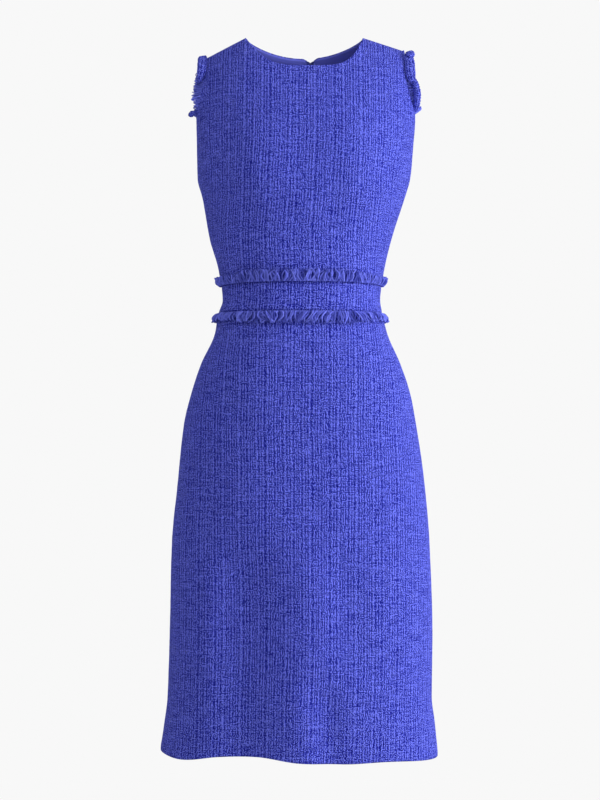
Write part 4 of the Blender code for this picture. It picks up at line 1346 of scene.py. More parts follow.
@dataclass
class YarnTree(GuideTree):
    """Yarns that grow along a guide line, which says which way is off and out."""

    clump: float = 95.0  # clumps of yarns about 10 mm wide lean together
    clump_swing: float = 5.0
    own_swing: float = 1.8
    swell: float = 300.0  # thick and thin places about 3 mm apart
    fine_end: float = 0.55  # how much thinner a yarn's end is, as a share
    fine_from: float = 4.0  # higher: only the very end is thinner
    girths: Pair = (0.65, 0.7)  # the thinnest yarn's thickness, and how much thicker the thickest is
    arch: float = 0.86  # how far a loop comes round, in half turns
    curves: Pair = (0.7, 1.6)  # powers of the lean along a yarn: the least, and how much more the most
    bow: float = 0.7  # how far yarns bow to the side, as a share of their height
    belly: Pair = (0.30, 2.3)  # where a yarn's belly starts and how far it swings, in radians
    chances: tuple[str, ...] = ("yarn", "lean", "lift", "tall", "loop", "shift", "curve", "girth")

    def __post_init__(self) -> None:
        """Builds the tree."""
        self.tree, given = fresh_tree("fringe_yarns", Growth)
        tree = self.tree
        threads = self.threads(given)
        own = {
            name: add_node(tree, "GeometryNodeInputNamedAttribute", {"Name": name}, data_type="FLOAT")
            for name in self.chances
        }
        way = {
            name: add_node(tree, "GeometryNodeInputNamedAttribute", {"Name": name}, data_type="FLOAT_VECTOR")
            for name in (*GUIDE_LAYERS, "root", "along")
        }
        style = add_node(tree, "ShaderNodeSeparateXYZ", (way["style"],)).node.outputs
        t = add_node(tree, "GeometryNodeSplineParameter")
        bent = self.bend(given, own, way, style, t)
        shaped = add_node(tree, "GeometryNodeSetPosition", {"Geometry": threads, "Position": bent})
        # thick and thin along each yarn, with a finer end
        place = add_node(tree, "GeometryNodeInputPosition")
        swell = add_node(tree, NOISE, {"Vector": place, "Scale": self.swell, "Detail": 1.0})
        swell = add_node(tree, MATH, (swell, 1.0, 0.5), operation="MULTIPLY_ADD")
        taper = add_node(tree, MATH, (t, self.fine_from), operation="POWER")
        taper = add_node(tree, MATH, (taper, -self.fine_end, 1.0), operation="MULTIPLY_ADD")
        girth = add_node(tree, MATH, (own["girth"], self.girths[1], self.girths[0]), operation="MULTIPLY_ADD")
        radius = given["thickness"]
        for share in (swell, taper, girth, style[2]):
            radius = add_node(tree, MATH, (radius, share), operation="MULTIPLY")
        section = add_node(tree, "GeometryNodeCurvePrimitiveCircle", {"Resolution": given["sides"], "Radius": 0.5})
        mesh = add_node(tree, "GeometryNodeCurveToMesh", {
            "Curve": shaped, "Profile Curve": section, "Scale": radius, "Fill Caps": True,
        })
        self.end(mesh)

    def threads(self, given: dict[str, Socket]) -> Socket:
        """Stands a straight thread at each root, with its root, its tangent and its own random numbers.

        Args:
            given: The tree's inputs.

        Returns:
            The threads' curves.
        """
        tree = self.tree
        roots = self.places(given)
        layers = [
            ("root", "FLOAT_VECTOR", add_node(tree, "GeometryNodeInputPosition")),
            ("along", "FLOAT_VECTOR", roots.node.outputs["Tangent"]),
        ]
        for number, name in enumerate(self.chances):
            seed = add_node(tree, MATH, (given["seed"], float(number * 17)), operation="ADD")
            low, high = (given["dark"], given["light"]) if name == "yarn" else (0.0, 1.0)
            chance = add_node(tree, "FunctionNodeRandomValue", {2: low, 3: high, "Seed": seed}, data_type="FLOAT")
            layers.append((name, "FLOAT", chance.node.outputs[1]))
        kept = roots
        for name, kind, value in layers:
            kept = add_node(tree, "GeometryNodeStoreNamedAttribute", {"Geometry": kept, "Name": name, "Value": value},
                            data_type=kind, domain="POINT")
        thread = add_node(tree, "GeometryNodeCurvePrimitiveLine", {"End": (0.0, 0.0, 0.001)})
        thread = add_node(tree, "GeometryNodeResampleCurve", {"Curve": thread, "Count": given["bends"]})
        stood = add_node(tree, "GeometryNodeInstanceOnPoints", {"Points": kept, "Instance": thread})
        return add_node(tree, "GeometryNodeRealizeInstances", {"Geometry": stood})

    def bend(self, given: dict, own: dict, way: dict, style: Sequence, t: Socket
             ) -> Socket:
        """Where each point of a yarn goes.

        Args:
            given: The tree's inputs.
            own: Each yarn's random numbers.
            way: The directions at its root.
            style: The shares of reach, lift and thickness at its root.
            t: The place along the yarn, from 0 to 1.

        Returns:
            The position.
        """
        tree = self.tree
        # neighbours lean the same way, with the odd one across
        clump = add_node(tree, NOISE, {"Vector": way["root"], "Scale": self.clump, "Detail": 0.0})
        clump, lean, side = (
            add_node(tree, MATH, (chance, swing, -swing / 2), operation="MULTIPLY_ADD")
            for chance, swing in (
                (clump, self.clump_swing), (own["lean"], self.own_swing), (own["shift"], self.bow)
            )
        )
        lean = add_node(tree, MATH, (clump, lean), operation="ADD")
        lean = add_node(tree, MATH, (lean, given["lean"]), operation="MULTIPLY")
        turns = (
            add_node(tree, MATH, (t, swing, start), operation="MULTIPLY_ADD")
            for start, swing in ((0.0, math.pi * self.arch), (0.0, math.pi), self.belly)
        )
        arch, bow, belly = (add_node(tree, MATH, (turn,), operation="SINE") for turn in turns)
        # off the seam: straight yarns rise, and loops rise and come back
        height = add_node(tree, MATH, (own["tall"], given["uneven"]), operation="MULTIPLY")
        height = add_node(tree, MATH, (1.0, height), operation="SUBTRACT")
        for share in (given["reach"], style[0]):
            height = add_node(tree, MATH, (height, share), operation="MULTIPLY")
        is_loop = add_node(tree, MATH, (own["loop"], given["loops"]), operation="LESS_THAN")
        change = add_node(tree, MATH, (arch, t), operation="SUBTRACT")
        rise = add_node(tree, MATH, (change, is_loop, t), operation="MULTIPLY_ADD")
        rise = add_node(tree, MATH, (rise, height), operation="MULTIPLY")
        # along the seam: the lean grows towards the end, and a side bow comes and goes
        power = add_node(tree, MATH, (own["curve"], self.curves[1], self.curves[0]), operation="MULTIPLY_ADD")
        drift = add_node(tree, MATH, (t, power), operation="POWER")
        drift = add_node(tree, MATH, (drift, lean), operation="MULTIPLY")
        drift = add_node(tree, MATH, (bow, side, drift), operation="MULTIPLY_ADD")
        sideways = add_node(tree, MATH, (drift, height), operation="MULTIPLY")
        # out from the cloth
        spread = add_node(tree, MATH, (given["lift_high"], given["lift_low"]), operation="SUBTRACT")
        out = add_node(tree, MATH, (own["lift"], spread, given["lift_low"]), operation="MULTIPLY_ADD")
        for share in (style[1], belly):
            out = add_node(tree, MATH, (out, share), operation="MULTIPLY")
        total = way["root"]
        for name, amount in (("off", rise), ("along", sideways), ("out", out)):
            part = add_node(tree, VECTOR_MATH, {0: way[name], "Scale": amount}, operation="SCALE")
            total = add_node(tree, VECTOR_MATH, (total, part), operation="ADD")
        return total


@dataclass
class Fringes:
    """Frayed yarn at both waist seams and round both armholes."""

    panels: Panels
    tree: YarnTree
    up: float = 0.0166
    down: float = 0.0168
    armhole: float = 0.0135
    armhole_flare: float = 1.3
    root_out: float = 0.0010  # the roots stand this far off the cloth
    root_in: float = 0.0006  # and this far in from the seam
    side_share: float = 0.72  # how far the yarns reach at the side seams, as a share
    side_span: Pair = (0.055, 0.108)  # where that share sets in
    armhole_in: float = 0.0010  # the armholes' roots lie this far inside the cloth's face
    armhole_lift: float = 0.6
    # how far the armholes' yarns reach, as a share: beside the rolled heading, which hides them, and how much
    # that changes between two drops. On the left the shoulder's end is bare beside the curl, and a few loose
    # ends hang past the underarm
    armhole_least: float = 0.55
    armhole_changes: tuple[tuple[float, float, float], ...] = ((0.45, 0.045, 0.062), (-0.75, 0.086, 0.100))
    left_least: float = -0.50
    left_changes: tuple[tuple[float, float, float], ...] = ((0.50, 0.030, 0.040), (0.55, 0.101, 0.105))
    # The two under layers are painted darker than the thick layers above them, as painted shade: their tones reach
    # only 0.30 and 0.5 of the way to the light colour.
    under: Growth = Growth(0.00075, 0.0012, 0.30, 0.0012, 0.0040, 0.1, 3, 4, 5, 0.15, 0.0, 0.30)
    over: Growth = Growth(0.00128, 0.0019, 0.46, 0.0034, 0.0066, 0.22, 8, 6, 7, 0.20, 0.15, 1.0)
    arm_under: Growth = Growth(0.00070, 0.0011, 0.25, 0.0004, 0.0016, 0.9, 3, 4, 7, 0.25, 0.0, 0.5)
    arm_over: Growth = Growth(0.0016, 0.0016, 0.55, 0.0008, 0.0030, 1.0, 8, 6, 9, 0.18, 0.3, 1.0)

    def build(self) -> dict[str, list[Piece]]:
        """Grows every fringe.

        Returns:
            The layers of each, by the names of the frame's nodes that they stand for.
        """
        pieces = {}
        for tail in ("front", "back_left", "back_right"):
            bodice, skirt = self.panels.cloths[f"bodice_{tail}"], self.panels.cloths[f"skirt_{tail}"]
            for name, guide, reach in (
                (f"fringe_upper_{tail}", self.waist(bodice, -1), self.up),
                (f"fringe_lower_{tail}", self.waist(skirt, 0), self.down),
            ):
                pieces[name] = self.layers(name, guide, reach, (self.under, self.over))
        for side in (Side.LEFT, Side.RIGHT):
            name = f"fringe_armhole_{side.name.lower()}"
            guide = self.round_armhole(side)
            pieces[name] = self.layers(name, guide, self.armhole, (self.arm_under, self.arm_over))
        return pieces

    def layers(self, name: str, guide: Guide, reach: float, growths: tuple[Growth, Growth]
               ) -> list[Piece]:
        """Grows the fine layer and the thick one on a guide.

        Args:
            name: The fringe's name.
            guide: The line that it grows from.
            reach: How long its yarns are.
            growths: The two layers' sizes.

        Returns:
            The two layers.
        """
        seed = sum(map(ord, name))
        pieces = []
        for layer, growth in zip(("yarns", "slubs"), growths):
            sized = replace(growth, reach=reach, seed=growth.seed + seed)
            pieces.append(self.tree.lay(f"{name}_{layer}", [guide], sized))
        return pieces

    def waist(self, cloth: Cloth, row: int) -> Guide:
        """The guide of a waist fringe, just off the cloth.

        Args:
            cloth: The panel that it lies over.
            row: The panel's row at the seam.

        Returns:
            The guide.
        """
        points, normals = cloth.edge(row)
        off = unit(cloth.points[row + (3 if row == 0 else -3)] - points)
        sides = fade(np.abs(points[:, X_AXIS]), *self.side_span)
        style = np.ones((len(points), 3))
        style[:, 0] = 1 - (1 - self.side_share) * sides
        return Guide(points + self.root_out * normals + self.root_in * off, normals, off, style)

    def round_armhole(self, side: Side) -> Guide:
        """The guide of an armhole's fringe, from the underarm up the front and down the back."""
        rims = []
        for cloth in (self.panels.cloths["bodice_front"], self.panels.cloths[f"bodice_back_{side.name.lower()}"]):
            points, normals = self.panels.armhole(cloth, side)
            off = unit(np.cross(np.gradient(points, axis=0), normals))
            rims.append((points - self.armhole_in * normals, off * np.sign(off[1, Z_AXIS]), normals))
        points, off, normals = (np.concatenate((a, b[-2::-1])) for a, b in zip(*rims))
        flared = unit(off + np.array((side.value * self.armhole_flare, 0, 0)))
        drops = self.panels.cutter.form.neck_height - points[:, Z_AXIS]
        style = np.ones((len(points), 3))
        is_left = side is Side.LEFT
        style[:, 0] = self.armhole_least + (self.left_least if is_left else 0.0)
        for change, start, end in self.armhole_changes + (self.left_changes if is_left else ()):
            style[:, 0] += change * fade(drops, start, end)
        style[:, 1] = self.armhole_lift
        return Guide(points, normals, flared, style)


@dataclass(frozen=True)
class Roll:
    """A rolled or folded length of the fringe's heading beside an armhole. Each station is its middle's X and
    drop, its half-width, its half-depth and how far behind the front edge it lies."""

    name: str
    side: Side
    stations: tuple[tuple[float, float, float, float, float], ...]
    ripple: float = 0.05


ROLLS = (
    Roll("armhole_curl_left", Side.LEFT, (
        (0.1528, 0.0190, 0.0012, 0.0012, -0.004), (0.1530, 0.0198, 0.0040, 0.0040, -0.004),
        (0.1532, 0.0220, 0.0060, 0.0058, -0.004), (0.1532, 0.0252, 0.0066, 0.0064, -0.004),
        (0.1530, 0.0284, 0.0058, 0.0056, -0.004), (0.1528, 0.0304, 0.0036, 0.0038, -0.004),
        (0.1524, 0.0312, 0.0012, 0.0014, -0.004),
    )),
    Roll("armhole_band_left", Side.LEFT, (
        (0.1484, 0.0236, 0.0024, 0.0010, -0.001), (0.1492, 0.0262, 0.0052, 0.0018, -0.002),
        (0.1504, 0.0300, 0.0072, 0.0026, -0.003),
        (0.1524, 0.0400, 0.0070, 0.0030, -0.003), (0.1528, 0.0500, 0.0070, 0.0030, -0.003),
        (0.1540, 0.0600, 0.0060, 0.0028, -0.003), (0.1558, 0.0660, 0.0042, 0.0022, -0.003),
        (0.1568, 0.0690, 0.0012, 0.0010, -0.003),
    )),
    Roll("armhole_twist_left", Side.LEFT, (
        (0.1566, 0.0600, 0.0014, 0.0014, -0.002), (0.1588, 0.0660, 0.0038, 0.0038, -0.002),
        (0.1610, 0.0740, 0.0046, 0.0042, -0.002), (0.1626, 0.0840, 0.0048, 0.0042, -0.002),
        (0.1622, 0.0930, 0.0048, 0.0040, -0.002), (0.1602, 0.1010, 0.0040, 0.0032, -0.002),
        (0.1584, 0.1060, 0.0014, 0.0012, -0.002),
    ), 0.17),
    Roll("armhole_fold_right", Side.RIGHT, (
        (-0.1366, 0.0250, 0.0046, 0.0012, -0.002), (-0.1362, 0.0276, 0.0064, 0.0024, -0.002),
        (-0.1358, 0.0360, 0.0068, 0.0026, -0.003), (-0.1362, 0.0480, 0.0066, 0.0026, -0.004),
        (-0.1376, 0.0570, 0.0056, 0.0024, -0.004), (-0.1392, 0.0640, 0.0034, 0.0020, -0.004),
        (-0.1402, 0.0680, 0.0012, 0.0010, -0.003),
    )),
    Roll("armhole_tail_right", Side.RIGHT, (
        (-0.1380, 0.1064, 0.0014, 0.0010, -0.002), (-0.1410, 0.1062, 0.0018, 0.0013, -0.003),
        (-0.1450, 0.1064, 0.0022, 0.0016, -0.004), (-0.1490, 0.1076, 0.0038, 0.0020, -0.004),
        (-0.1515, 0.1084, 0.0046, 0.0020, -0.004), (-0.1536, 0.1082, 0.0038, 0.0016, -0.004),
        (-0.1548, 0.1076, 0.0012, 0.0008, -0.004),
    )),
)


@dataclass
class ArmholeTrims:
    """The heading of each armhole's fringe where it is rolled, folded over or hangs free."""

    panels: Panels
    finishes: Finishes
    around: int = 28
    steps: int = 48
    ripples: Pair = (2600.0, 900.0)  # radians a metre along a roll: the ripple, and how it comes and goes
    ripple_turns: int = 3  # the ripple winds round the roll this many times as fast as the roll's own turn
    slub: Pair = (0.45, 0.30)  # painted light and shade with the ripple's wave: its middle brightness and how far it swings
    weave_radius: float = 0.005

    def build(self) -> list[Piece]:
        """Builds every roll."""
        return [self.roll(roll) for roll in ROLLS]

    def roll(self, roll: Roll) -> Piece:
        """Builds one roll as a closed tube of elliptical section, a little rippled.

        Args:
            roll: Its stations.

        Returns:
            The piece.
        """
        table = np.array(roll.stations)
        places = np.arange(len(table), dtype=float)
        at = np.linspace(0, places[-1], self.steps)
        x, drop, wide, deep, behind = (Curve(places, table[:, i])(at) for i in range(5))
        edge, _ = self.panels.armhole(self.panels.cloths["bodice_front"], roll.side)
        height = self.panels.cutter.form.neck_height - drop
        y = np.interp(height, edge[:, Z_AXIS], edge[:, Y_AXIS]) + behind
        middle = np.stack((x, y, height), axis=-1)
        along = unit(np.gradient(middle, axis=0))
        across = unit(np.cross(along, (0.0, 1.0, 0.0)))
        turn = np.linspace(0, 2 * math.pi, self.around, endpoint=False)
        length = np.cumsum(np.linalg.norm(np.diff(middle, axis=0, prepend=middle[:1]), axis=1))
        wave = np.sin(length[:, None] * self.ripples[0] + self.ripple_turns * turn)
        ripple = 1 + roll.ripple * wave * np.sin(length * self.ripples[1])[:, None]
        points = (
            middle[:, None]
            + (wide[:, None] * np.cos(turn) * ripple)[..., None] * across[:, None]
            + (deep[:, None] * np.sin(turn) * ripple)[..., None] * np.array((0.0, 1.0, 0.0))
        )
        index = np.arange(points[..., 0].size).reshape(points.shape[:2])
        wrapped = np.concatenate((index, index[:, :1]), axis=1)
        faces = ClothCutter.quads(wrapped).tolist() + [index[0].tolist(), index[-1, ::-1].tolist()]
        weave = np.stack(np.broadcast_arrays(turn * self.weave_radius, length[:, None]), axis=-1).reshape(-1, 2)
        # painted light and shade: lighter and darker with the ripple's wave, round and along the roll
        slub = self.slub[0] + self.slub[1] * wave
        flat = points.reshape(-1, 3)
        return mesh_piece(roll.name, flat, faces, self.finishes.tweed, weave, {"slub": slub.ravel()})


# Facing, zip and stitching


@dataclass(frozen=True)
class Row:
    """A row of small equal shapes, by the names of the tree's inputs."""

    spacing: float
    along: float
    across: float
    tall: float
    shift: float = 0.0  # each moves this far to one side or the other by turns
    uneven: float = 0.1
    seed: int = 1


@dataclass
class RowTree(GuideTree):
    """Small rounded shapes laid along a guide line: stitches, coil teeth or wraps."""

    def __post_init__(self) -> None:
        """Builds the tree."""
        self.tree, given = fresh_tree(f"row_of_{self.material.name}", Row)
        tree = self.tree
        places = self.places(given)
        tangent = places.node.outputs["Tangent"]
        out = add_node(tree, "GeometryNodeInputNamedAttribute", {"Name": "out"}, data_type="FLOAT_VECTOR")
        aside = add_node(tree, VECTOR_MATH, (out, tangent), operation="CROSS_PRODUCT")
        odd = add_node(tree, MATH, (add_node(tree, "GeometryNodeInputIndex"), 2.0), operation="MODULO")
        swing = add_node(tree, MATH, (odd, 2.0, -1.0), operation="MULTIPLY_ADD")
        swing = add_node(tree, MATH, (swing, given["shift"]), operation="MULTIPLY")
        offset = add_node(tree, VECTOR_MATH, {0: aside, "Scale": swing}, operation="SCALE")
        turned = add_node(tree, "FunctionNodeAxesToRotation", (out, tangent), primary_axis="Z", secondary_axis="X")
        low = add_node(tree, MATH, (1.0, given["uneven"]), operation="SUBTRACT")
        high = add_node(tree, MATH, (1.0, given["uneven"]), operation="ADD")
        chance = add_node(tree, "FunctionNodeRandomValue", {2: low, 3: high, "Seed": given["seed"]},
                          data_type="FLOAT").node.outputs[1]
        size = add_node(tree, "ShaderNodeCombineXYZ", (given["along"], given["across"], given["tall"]))
        size = add_node(tree, VECTOR_MATH, {0: size, "Scale": chance}, operation="SCALE")
        shape = add_node(tree, "GeometryNodeMeshUVSphere", {"Segments": 8, "Rings": 5, "Radius": 0.5})
        laid = add_node(tree, "GeometryNodeInstanceOnPoints", {
            "Points": places, "Instance": shape, "Rotation": turned, "Scale": size,
        })
        laid = add_node(tree, "GeometryNodeTranslateInstances", {
            "Instances": laid, "Translation": offset, "Local Space": False,
        })
        self.end(laid)


@dataclass
class Closing:
    """What closes the dress at the back: the neck facing, the zip's tapes and coil, the hook and eye's
    threads, and the stitching beside the zip."""

    panels: Panels
    finishes: Finishes
    gap: float = 0.0009
    tape: float = 0.0006
    tape_width: float = 0.0115
    tape_top: float = 0.0192
    tape_dip: float = 0.0016  # how much lower the tapes' tops are where they meet
    tape_corner: float = 0.0034
    tape_grid: tuple[int, int] = (181, 13)  # points down and across
    tape_apart: float = 0.00004  # between the tapes' edges and the seam
    tape_roll: float = 0.0001
    lining: float = 0.0008
    facing_rows: int = 20
    facing_sunk: float = 0.0001  # below the cloth's inside, at the neck edge
    facing_drawn: float = 0.0025  # how far down the facing takes to reach its depth behind the tape
    facing_roll: float = 0.0002
    chain_top: float = 0.034
    teeth: Row = Row(0.00105, 0.00085, 0.0027, 0.0010, 0.00072, 0.03)
    tooth_depth: float = 0.0012
    chain_points: int = 300
    chain_up: float = 0.002  # the chain's end, above the zip's
    topstitch_in: float = 0.0062  # from the cloth's edge beside the zip
    topstitch_out: float = 0.0004  # how far outside the form it lies
    topstitch_ends: Pair = (0.010, 0.004)  # below the tape's top, and above the zip's end
    topstitch_points: int = 200
    topstitch: Row = Row(0.0027, 0.0021, 0.00050, 0.00038, 0.0, 0.08)
    wraps: Row = Row(0.00058, 0.00062, 0.0030, 0.0030, 0.0, 0.16)
    hook_drop: float = 0.0245
    wire_depth: float = 0.00045  # from the facing to the middle of the wire
    wire_loop: float = 0.0013
    wire_base: float = 0.0075
    eye_half: float = 0.0019
    hook_stem: Pair = (-0.0068, -0.0030)  # from the hook's middle: where the sewn stretch starts and ends
    eye_legs: Pair = (0.0040, 0.0072)
    hook_turn: tuple[int, int] = (-300, -110)  # degrees round the hook's loop that are sewn
    eye_turn: tuple[int, int] = (150, -60)  # and round the eye's upper loop

    def cloth(self, side: Side, x: Array, drops: Array, depth: Array | float) -> Cloth:
        """Cloth inside a back panel.

        Args:
            side: The panel's side.
            x: Grid of X.
            drops: Grid of drops.
            depth: How far inside the form it lies.

        Returns:
            The cloth.
        """
        form = self.panels.cutter.form
        angles = form.angle_at(x, drops)
        points, normals = form.point(Face.BACK, angles, drops), form.normal(Face.BACK, angles, drops)
        points = points - np.broadcast_to(depth, drops.shape)[..., None] * normals
        return Cloth(Face.BACK, side, points, normals, x, -drops)

    def facing(self, side: Side) -> Cloth:
        """The neck facing: it turns in at the neck edge and lies behind the zip's tape."""
        source = self.panels.cloths[f"bodice_back_{side.name.lower()}"]
        count = self.panels.neck_columns // 2 + self.panels.shoulder_columns + 1
        columns = slice(0, count) if side is Side.LEFT else slice(-count, None)
        rows = slice(0, self.facing_rows + 1)
        points, normals = source.points[rows, columns], source.normals[rows, columns]
        down = np.linalg.norm(points - points[:1], axis=-1)
        full = self.panels.cutter.wall + 2 * self.gap + self.tape
        start = self.panels.cutter.wall + self.facing_sunk
        depth = start + (full - start) * fade(down, 0, self.facing_drawn)
        points = points - depth[..., None] * normals
        # laid flat it is a strip, as long as its middle row
        middle = points[self.facing_rows // 2]
        run = np.cumsum(np.linalg.norm(np.diff(middle, axis=0, prepend=middle[:1]), axis=-1))
        return Cloth(Face.BACK, side, points, normals, np.broadcast_to(run, down.shape), -down)

    def tape_cloth(self, side: Side) -> Cloth:
        """One side's tape, behind the panel's edge."""
        form = self.panels.cutter.form
        down, wide = self.tape_grid
        across = np.linspace(0, 1, wide) if side is Side.LEFT else np.linspace(-1, 0, wide)
        top = self.tape_top + self.tape_dip * (1 - fade(np.abs(across) * self.tape_width, 0, self.tape_corner))
        drops = top + (form.zip_end - top) * np.linspace(0, 1, down)[:, None]
        start = form.back_seam_x(drops) + side.value * self.tape_apart
        x = start + across * self.tape_width
        depth = self.panels.cutter.wall + self.gap
        return self.cloth(side, x, drops, depth)

    def line(self, offset: float, drops: Array, depth: float, side: Side = Side.WHOLE) -> Guide:
        """A line down the back.

        Args:
            offset: How far it lies from the panel's edge, or from the seam where side is WHOLE.
            drops: Its drops.
            depth: How far inside the form it lies.
            side: The panel.

        Returns:
            The line.
        """
        form = self.panels.cutter.form
        edge = form.back_seam_x(drops) if side is Side.WHOLE else form.back_edge(side, drops)
        cloth = self.cloth(side, edge + side.value * offset, drops, depth)
        return Guide(cloth.points, cloth.normals)

    def build(self) -> dict[str, Piece]:
        """Builds all of it.

        Returns:
            The pieces, by the names of the frame's nodes that they stand for, or by their own.
        """
        cutter = self.panels.cutter
        fine = SlubRelief(height=0.0)
        pieces = {}
        for side in (Side.LEFT, Side.RIGHT):
            tail = side.name.lower()
            for kind, cloth, wall, roll, finish in (
                ("neck_facing", self.facing(side), self.lining, self.facing_roll, self.finishes.facing),
                ("zip_tape", self.tape_cloth(side), self.tape, self.tape_roll, self.finishes.tape),
            ):
                thin = replace(cutter, relief=fine, wall=wall, edge_roll=roll)
                pieces[f"{kind}_{tail}"] = thin.sew(f"{kind}_{tail}_cloth", cloth, finish)
            below, above = self.topstitch_ends
            drops = np.linspace(self.tape_top + below, cutter.form.zip_end - above, self.topstitch_points)
            stitched = self.line(self.topstitch_in, drops, -self.topstitch_out, side)
            pieces[f"topstitch_{tail}"] = RowTree(self.finishes.thread).lay(
                f"zip_topstitch_{tail}", [stitched], self.topstitch
            )
        drops = np.linspace(self.chain_top, cutter.form.zip_end - self.chain_up, self.chain_points)
        pieces["zip_chain"] = RowTree(self.finishes.coil).lay(
            "zip_coil_teeth", [self.line(0.0, drops, self.tooth_depth)], self.teeth
        )
        pieces["hook_threads"] = RowTree(self.finishes.thread).lay(
            "hook_and_eye_threads", self.thread_lines(), self.wraps
        )
        return pieces

    def thread_lines(self) -> list[Guide]:
        """The wires' sewn stretches: both loops of the eye, the hook's loop, and its stem."""
        form, cutter = self.panels.cutter.form, self.panels.cutter
        inside = cutter.wall + 3 * self.gap + self.tape + self.lining + self.wire_depth
        drops = np.array([self.hook_drop])
        centre = self.cloth(Side.WHOLE, form.back_seam_x(drops), drops, inside).points[0]
        loop, half = self.wire_loop, self.eye_half
        up, down = self.eye_turn
        lines = []
        for x, z, start, end in (
            (-self.wire_base, loop, *self.hook_turn),
            (self.wire_base, half + loop, up, down),
            (self.wire_base, -half - loop, -up, -down),
        ):
            turn = np.radians(np.linspace(start, end, 24))
            lines.append(np.stack((x + loop * np.cos(turn), 0 * turn, z + loop * np.sin(turn)), axis=-1))
        for (start, end), z in ((self.hook_stem, 0.0), (self.eye_legs, half), (self.eye_legs, -half)):
            lines.append(np.stack((np.linspace(start, end, 8), np.zeros(8), np.full(8, z)), axis=-1))
        return [Guide(centre + points, np.array((0.0, -1.0, 0.0))) for points in lines]


# The stage


@dataclass
class Studio:
    """A plain pale room, soft lamps and the camera."""

    middle: float = -0.4945  # Z of the camera's level line
    distance: float = 3.0
    frame_height: float = 1.12  # how much of the dress's own plane the camera sees
    sensor: float = 36.0
    floor: float = -1.45  # where a wearer's feet would stand
    floor_radius: float = 9.0
    floor_corners: int = 64
    floor_roughness: float = 0.9
    floor_fade: Pair = (0.3, 2.4)  # from the dress's foot: where the floor's own shade is full, and where it ends
    floor_shown: float = 0.80  # how much of the backdrop shows even there
    backdrop: str = "F8F8F8"
    ambient: float = 0.24

    def build(self) -> None:
        """Builds the room, the lamps and the camera."""
        self.room()
        self.world()
        self.lamp("key", (2.6, -0.90, 0.10), (1.1, 2.4), 76.0)
        self.lamp("rim", (-2.6, 0.5, -0.2), (0.8, 2.2), 5.0)
        self.lamp("front", (0.3, -2.5, 2.2), (2.2, 1.4), 32.0)
        self.lamp("neck_fill", (-1.2, -1.8, 1.3), (0.8, 0.8), 0.10, -0.02, 24.0)
        self.lamp("back", (1.2, 3.2, 0.6), (2.4, 2.0), 26.0)
        self.camera()

    def seen(self, tree: Tree) -> Socket:
        """1 for the camera, reflections and what is seen through glass."""
        path = add_node(tree, "ShaderNodeLightPath").node.outputs
        share = path["Is Camera Ray"]
        for name in ("Is Glossy Ray", "Is Transmission Ray"):
            share = add_node(tree, MATH, (share, path[name]), operation="MAXIMUM")
        return share

    def room(self) -> None:
        """Makes the floor, whose own shade shows near the dress and fades to the backdrop's further off."""
        material, tree, shader = new_material("pale_floor")
        feed(shader, {"Base Color": linear(self.backdrop), "Roughness": self.floor_roughness})
        place = add_node(tree, "ShaderNodeTexCoord").node.outputs["Object"]
        away = add_node(tree, VECTOR_MATH, (place, (0.0, 0.0, self.floor)), operation="DISTANCE")
        away = add_node(tree, "ShaderNodeMapRange", {
            "Value": away.node.outputs["Value"], "From Min": self.floor_fade[0],
            "From Max": self.floor_fade[1], "To Min": self.floor_shown, "To Max": 1.0,
        }, interpolation_type="SMOOTHSTEP")
        share = add_node(tree, MATH, (self.seen(tree), away), operation="MULTIPLY")
        glow = add_node(tree, "ShaderNodeEmission", {"Color": linear(self.backdrop), "Strength": 1.0})
        mixed = add_node(tree, "ShaderNodeMixShader", (share, shader.outputs[0], glow))
        feed(tree.nodes["Material Output"], {"Surface": mixed})
        work = bmesh.new()
        bmesh.ops.create_circle(work, cap_ends=True, segments=self.floor_corners,
                                radius=self.floor_radius)
        bmesh.ops.translate(work, verts=work.verts, vec=(0, 0, self.floor))
        mesh = bpy.data.meshes.new("floor")
        work.to_mesh(mesh)
        work.free()
        mesh.materials.append(material)
        floor = placed("floor", mesh)

    def world(self) -> None:
        """Lights the room evenly, and shows the backdrop's colour to the camera."""
        world = bpy.data.worlds.new("room")
        world.use_nodes = True
        tree = world.node_tree
        tree.nodes.clear()
        shown = add_node(tree, "ShaderNodeBackground", {"Color": linear(self.backdrop), "Strength": 1.0})
        lit = add_node(tree, "ShaderNodeBackground", {"Color": (1.0, 1.0, 1.0, 1.0), "Strength": self.ambient})
        mixed = add_node(tree, "ShaderNodeMixShader", (self.seen(tree), lit, shown))
        add_node(tree, "ShaderNodeOutputWorld", {"Surface": mixed})
        bpy.context.scene.world = world

    def lamp(self, name: str, place: tuple[float, float, float], size: Pair, power: float,
             faces: float | None = None, spread: float = 180.0) -> None:
        """Adds a soft lamp that faces the dress.

        Args:
            name: The lamp's name.
            place: Where it stands.
            size: Its width and height.
            power: Its power in watts.
            faces: The height that it faces, where that isn't the dress's middle.
            spread: The width of its beam in degrees.
        """
        faces = self.middle if faces is None else faces
        light = bpy.data.lights.new(name, "AREA")
        light.shape = "RECTANGLE"
        light.size, light.size_y = size
        light.energy = power
        light.spread = math.radians(spread)
        lamp = placed(name, light)
        lamp.location = place
        aim = math.atan2(place[X_AXIS], -place[Y_AXIS])
        rise = math.atan2(faces - place[Z_AXIS], math.hypot(place[X_AXIS], place[Y_AXIS]))
        lamp.rotation_euler = (math.pi / 2 + rise, 0, aim)

    def camera(self) -> None:
        """Adds the camera, level and square to the front."""
        lens = bpy.data.cameras.new("camera")
        lens.sensor_width = self.sensor
        lens.lens = self.sensor * self.distance / self.frame_height
        camera = placed("camera", lens)
        camera.location = (0.0, -self.distance, self.middle)
        camera.rotation_euler = (math.pi / 2, 0, 0)
        bpy.context.scene.camera = camera


METAL = {"zip_slider": "plated", "zip_pull": "plated", "hook": "wire", "eye": "wire"}


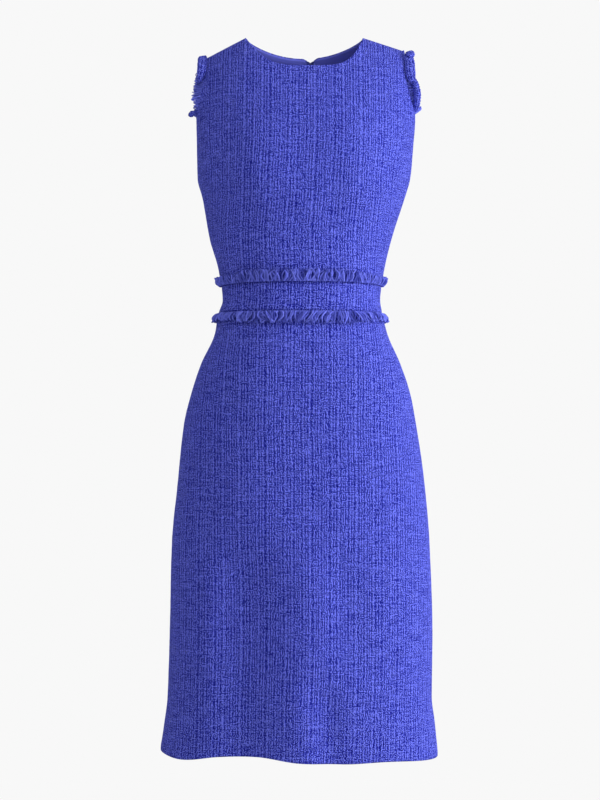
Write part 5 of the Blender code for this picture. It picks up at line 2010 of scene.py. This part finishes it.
def dress_up(sewn: dict[str, Piece], panels: Panels, fringes: dict[str, list[Piece]], trims: list[Piece]) -> None:
    """Args:
        sewn: The panels, by their nodes.
        panels: Their cloths.
        fringes: The fringes' layers, by their nodes.
        trims: The armholes' rolls.
    """
    held = {node: [] for node in sewn}
    for node, layers in fringes.items():
        for layer in layers:
            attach(layer, "dress")
            report(layer)
        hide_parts(node)
        tail = node.removeprefix("fringe_").partition("_")[2]
        owner = "bodice_front" if "armhole" in node else f"{'bodice' if 'upper' in node else 'skirt'}_{tail}"
        held[owner] += layers
    for trim in trims:
        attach(trim, "dress")
        held["bodice_front"].append(trim)
        report(trim)
    for node, piece in sewn.items():
        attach(piece, "dress")
        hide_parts(node)
        flat, area = Panels.flat_size(panels.cloths[node])
        LOG.info("%s: %d faces, cut %s, %.3f m2", piece.name, len(piece.data.polygons), flat, area)


def close_up(closing: Closing, nodes: dict[str, Piece]) -> None:
    """Puts the facing, the zip, the hook and eye's threads and the stitching on the frame.

    Args:
        closing: The back's closing.
        nodes: The frame's nodes.
    """
    for name, piece in closing.build().items():
        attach(piece, "dress")
        kind = name.removesuffix("_left").removesuffix("_right")
        if name in nodes:
            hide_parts(name)
        if kind in ("neck_facing", "zip_tape"):
            side = Side.LEFT if name.endswith("left") else Side.RIGHT
            cloth = closing.facing(side) if kind == "neck_facing" else closing.tape_cloth(side)
            flat, area = Panels.flat_size(cloth)
        report(piece)


def main() -> None:
    """Builds the dress and its stage in order."""
    logging.basicConfig(level=logging.INFO, format="%(message)s")
    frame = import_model()
    finishes = Finishes()
    panels = Panels(ClothCutter(DressForm(), SlubRelief()), finishes)
    sewn = panels.build()
    fringes = Fringes(panels, YarnTree(finishes.yarn)).build()
    trims = ArmholeTrims(panels, finishes).build()
    dress_up(sewn, panels, fringes, trims)
    close_up(Closing(panels, finishes), frame["nodes"])
    for node, finish in METAL.items():
        frame["nodes"][node].data.materials.clear()
        frame["nodes"][node].data.materials.append(getattr(finishes, finish))
    Studio().build()
    bpy.context.scene.view_settings.view_transform = "Standard"


if __name__ == "__main__":
    main()
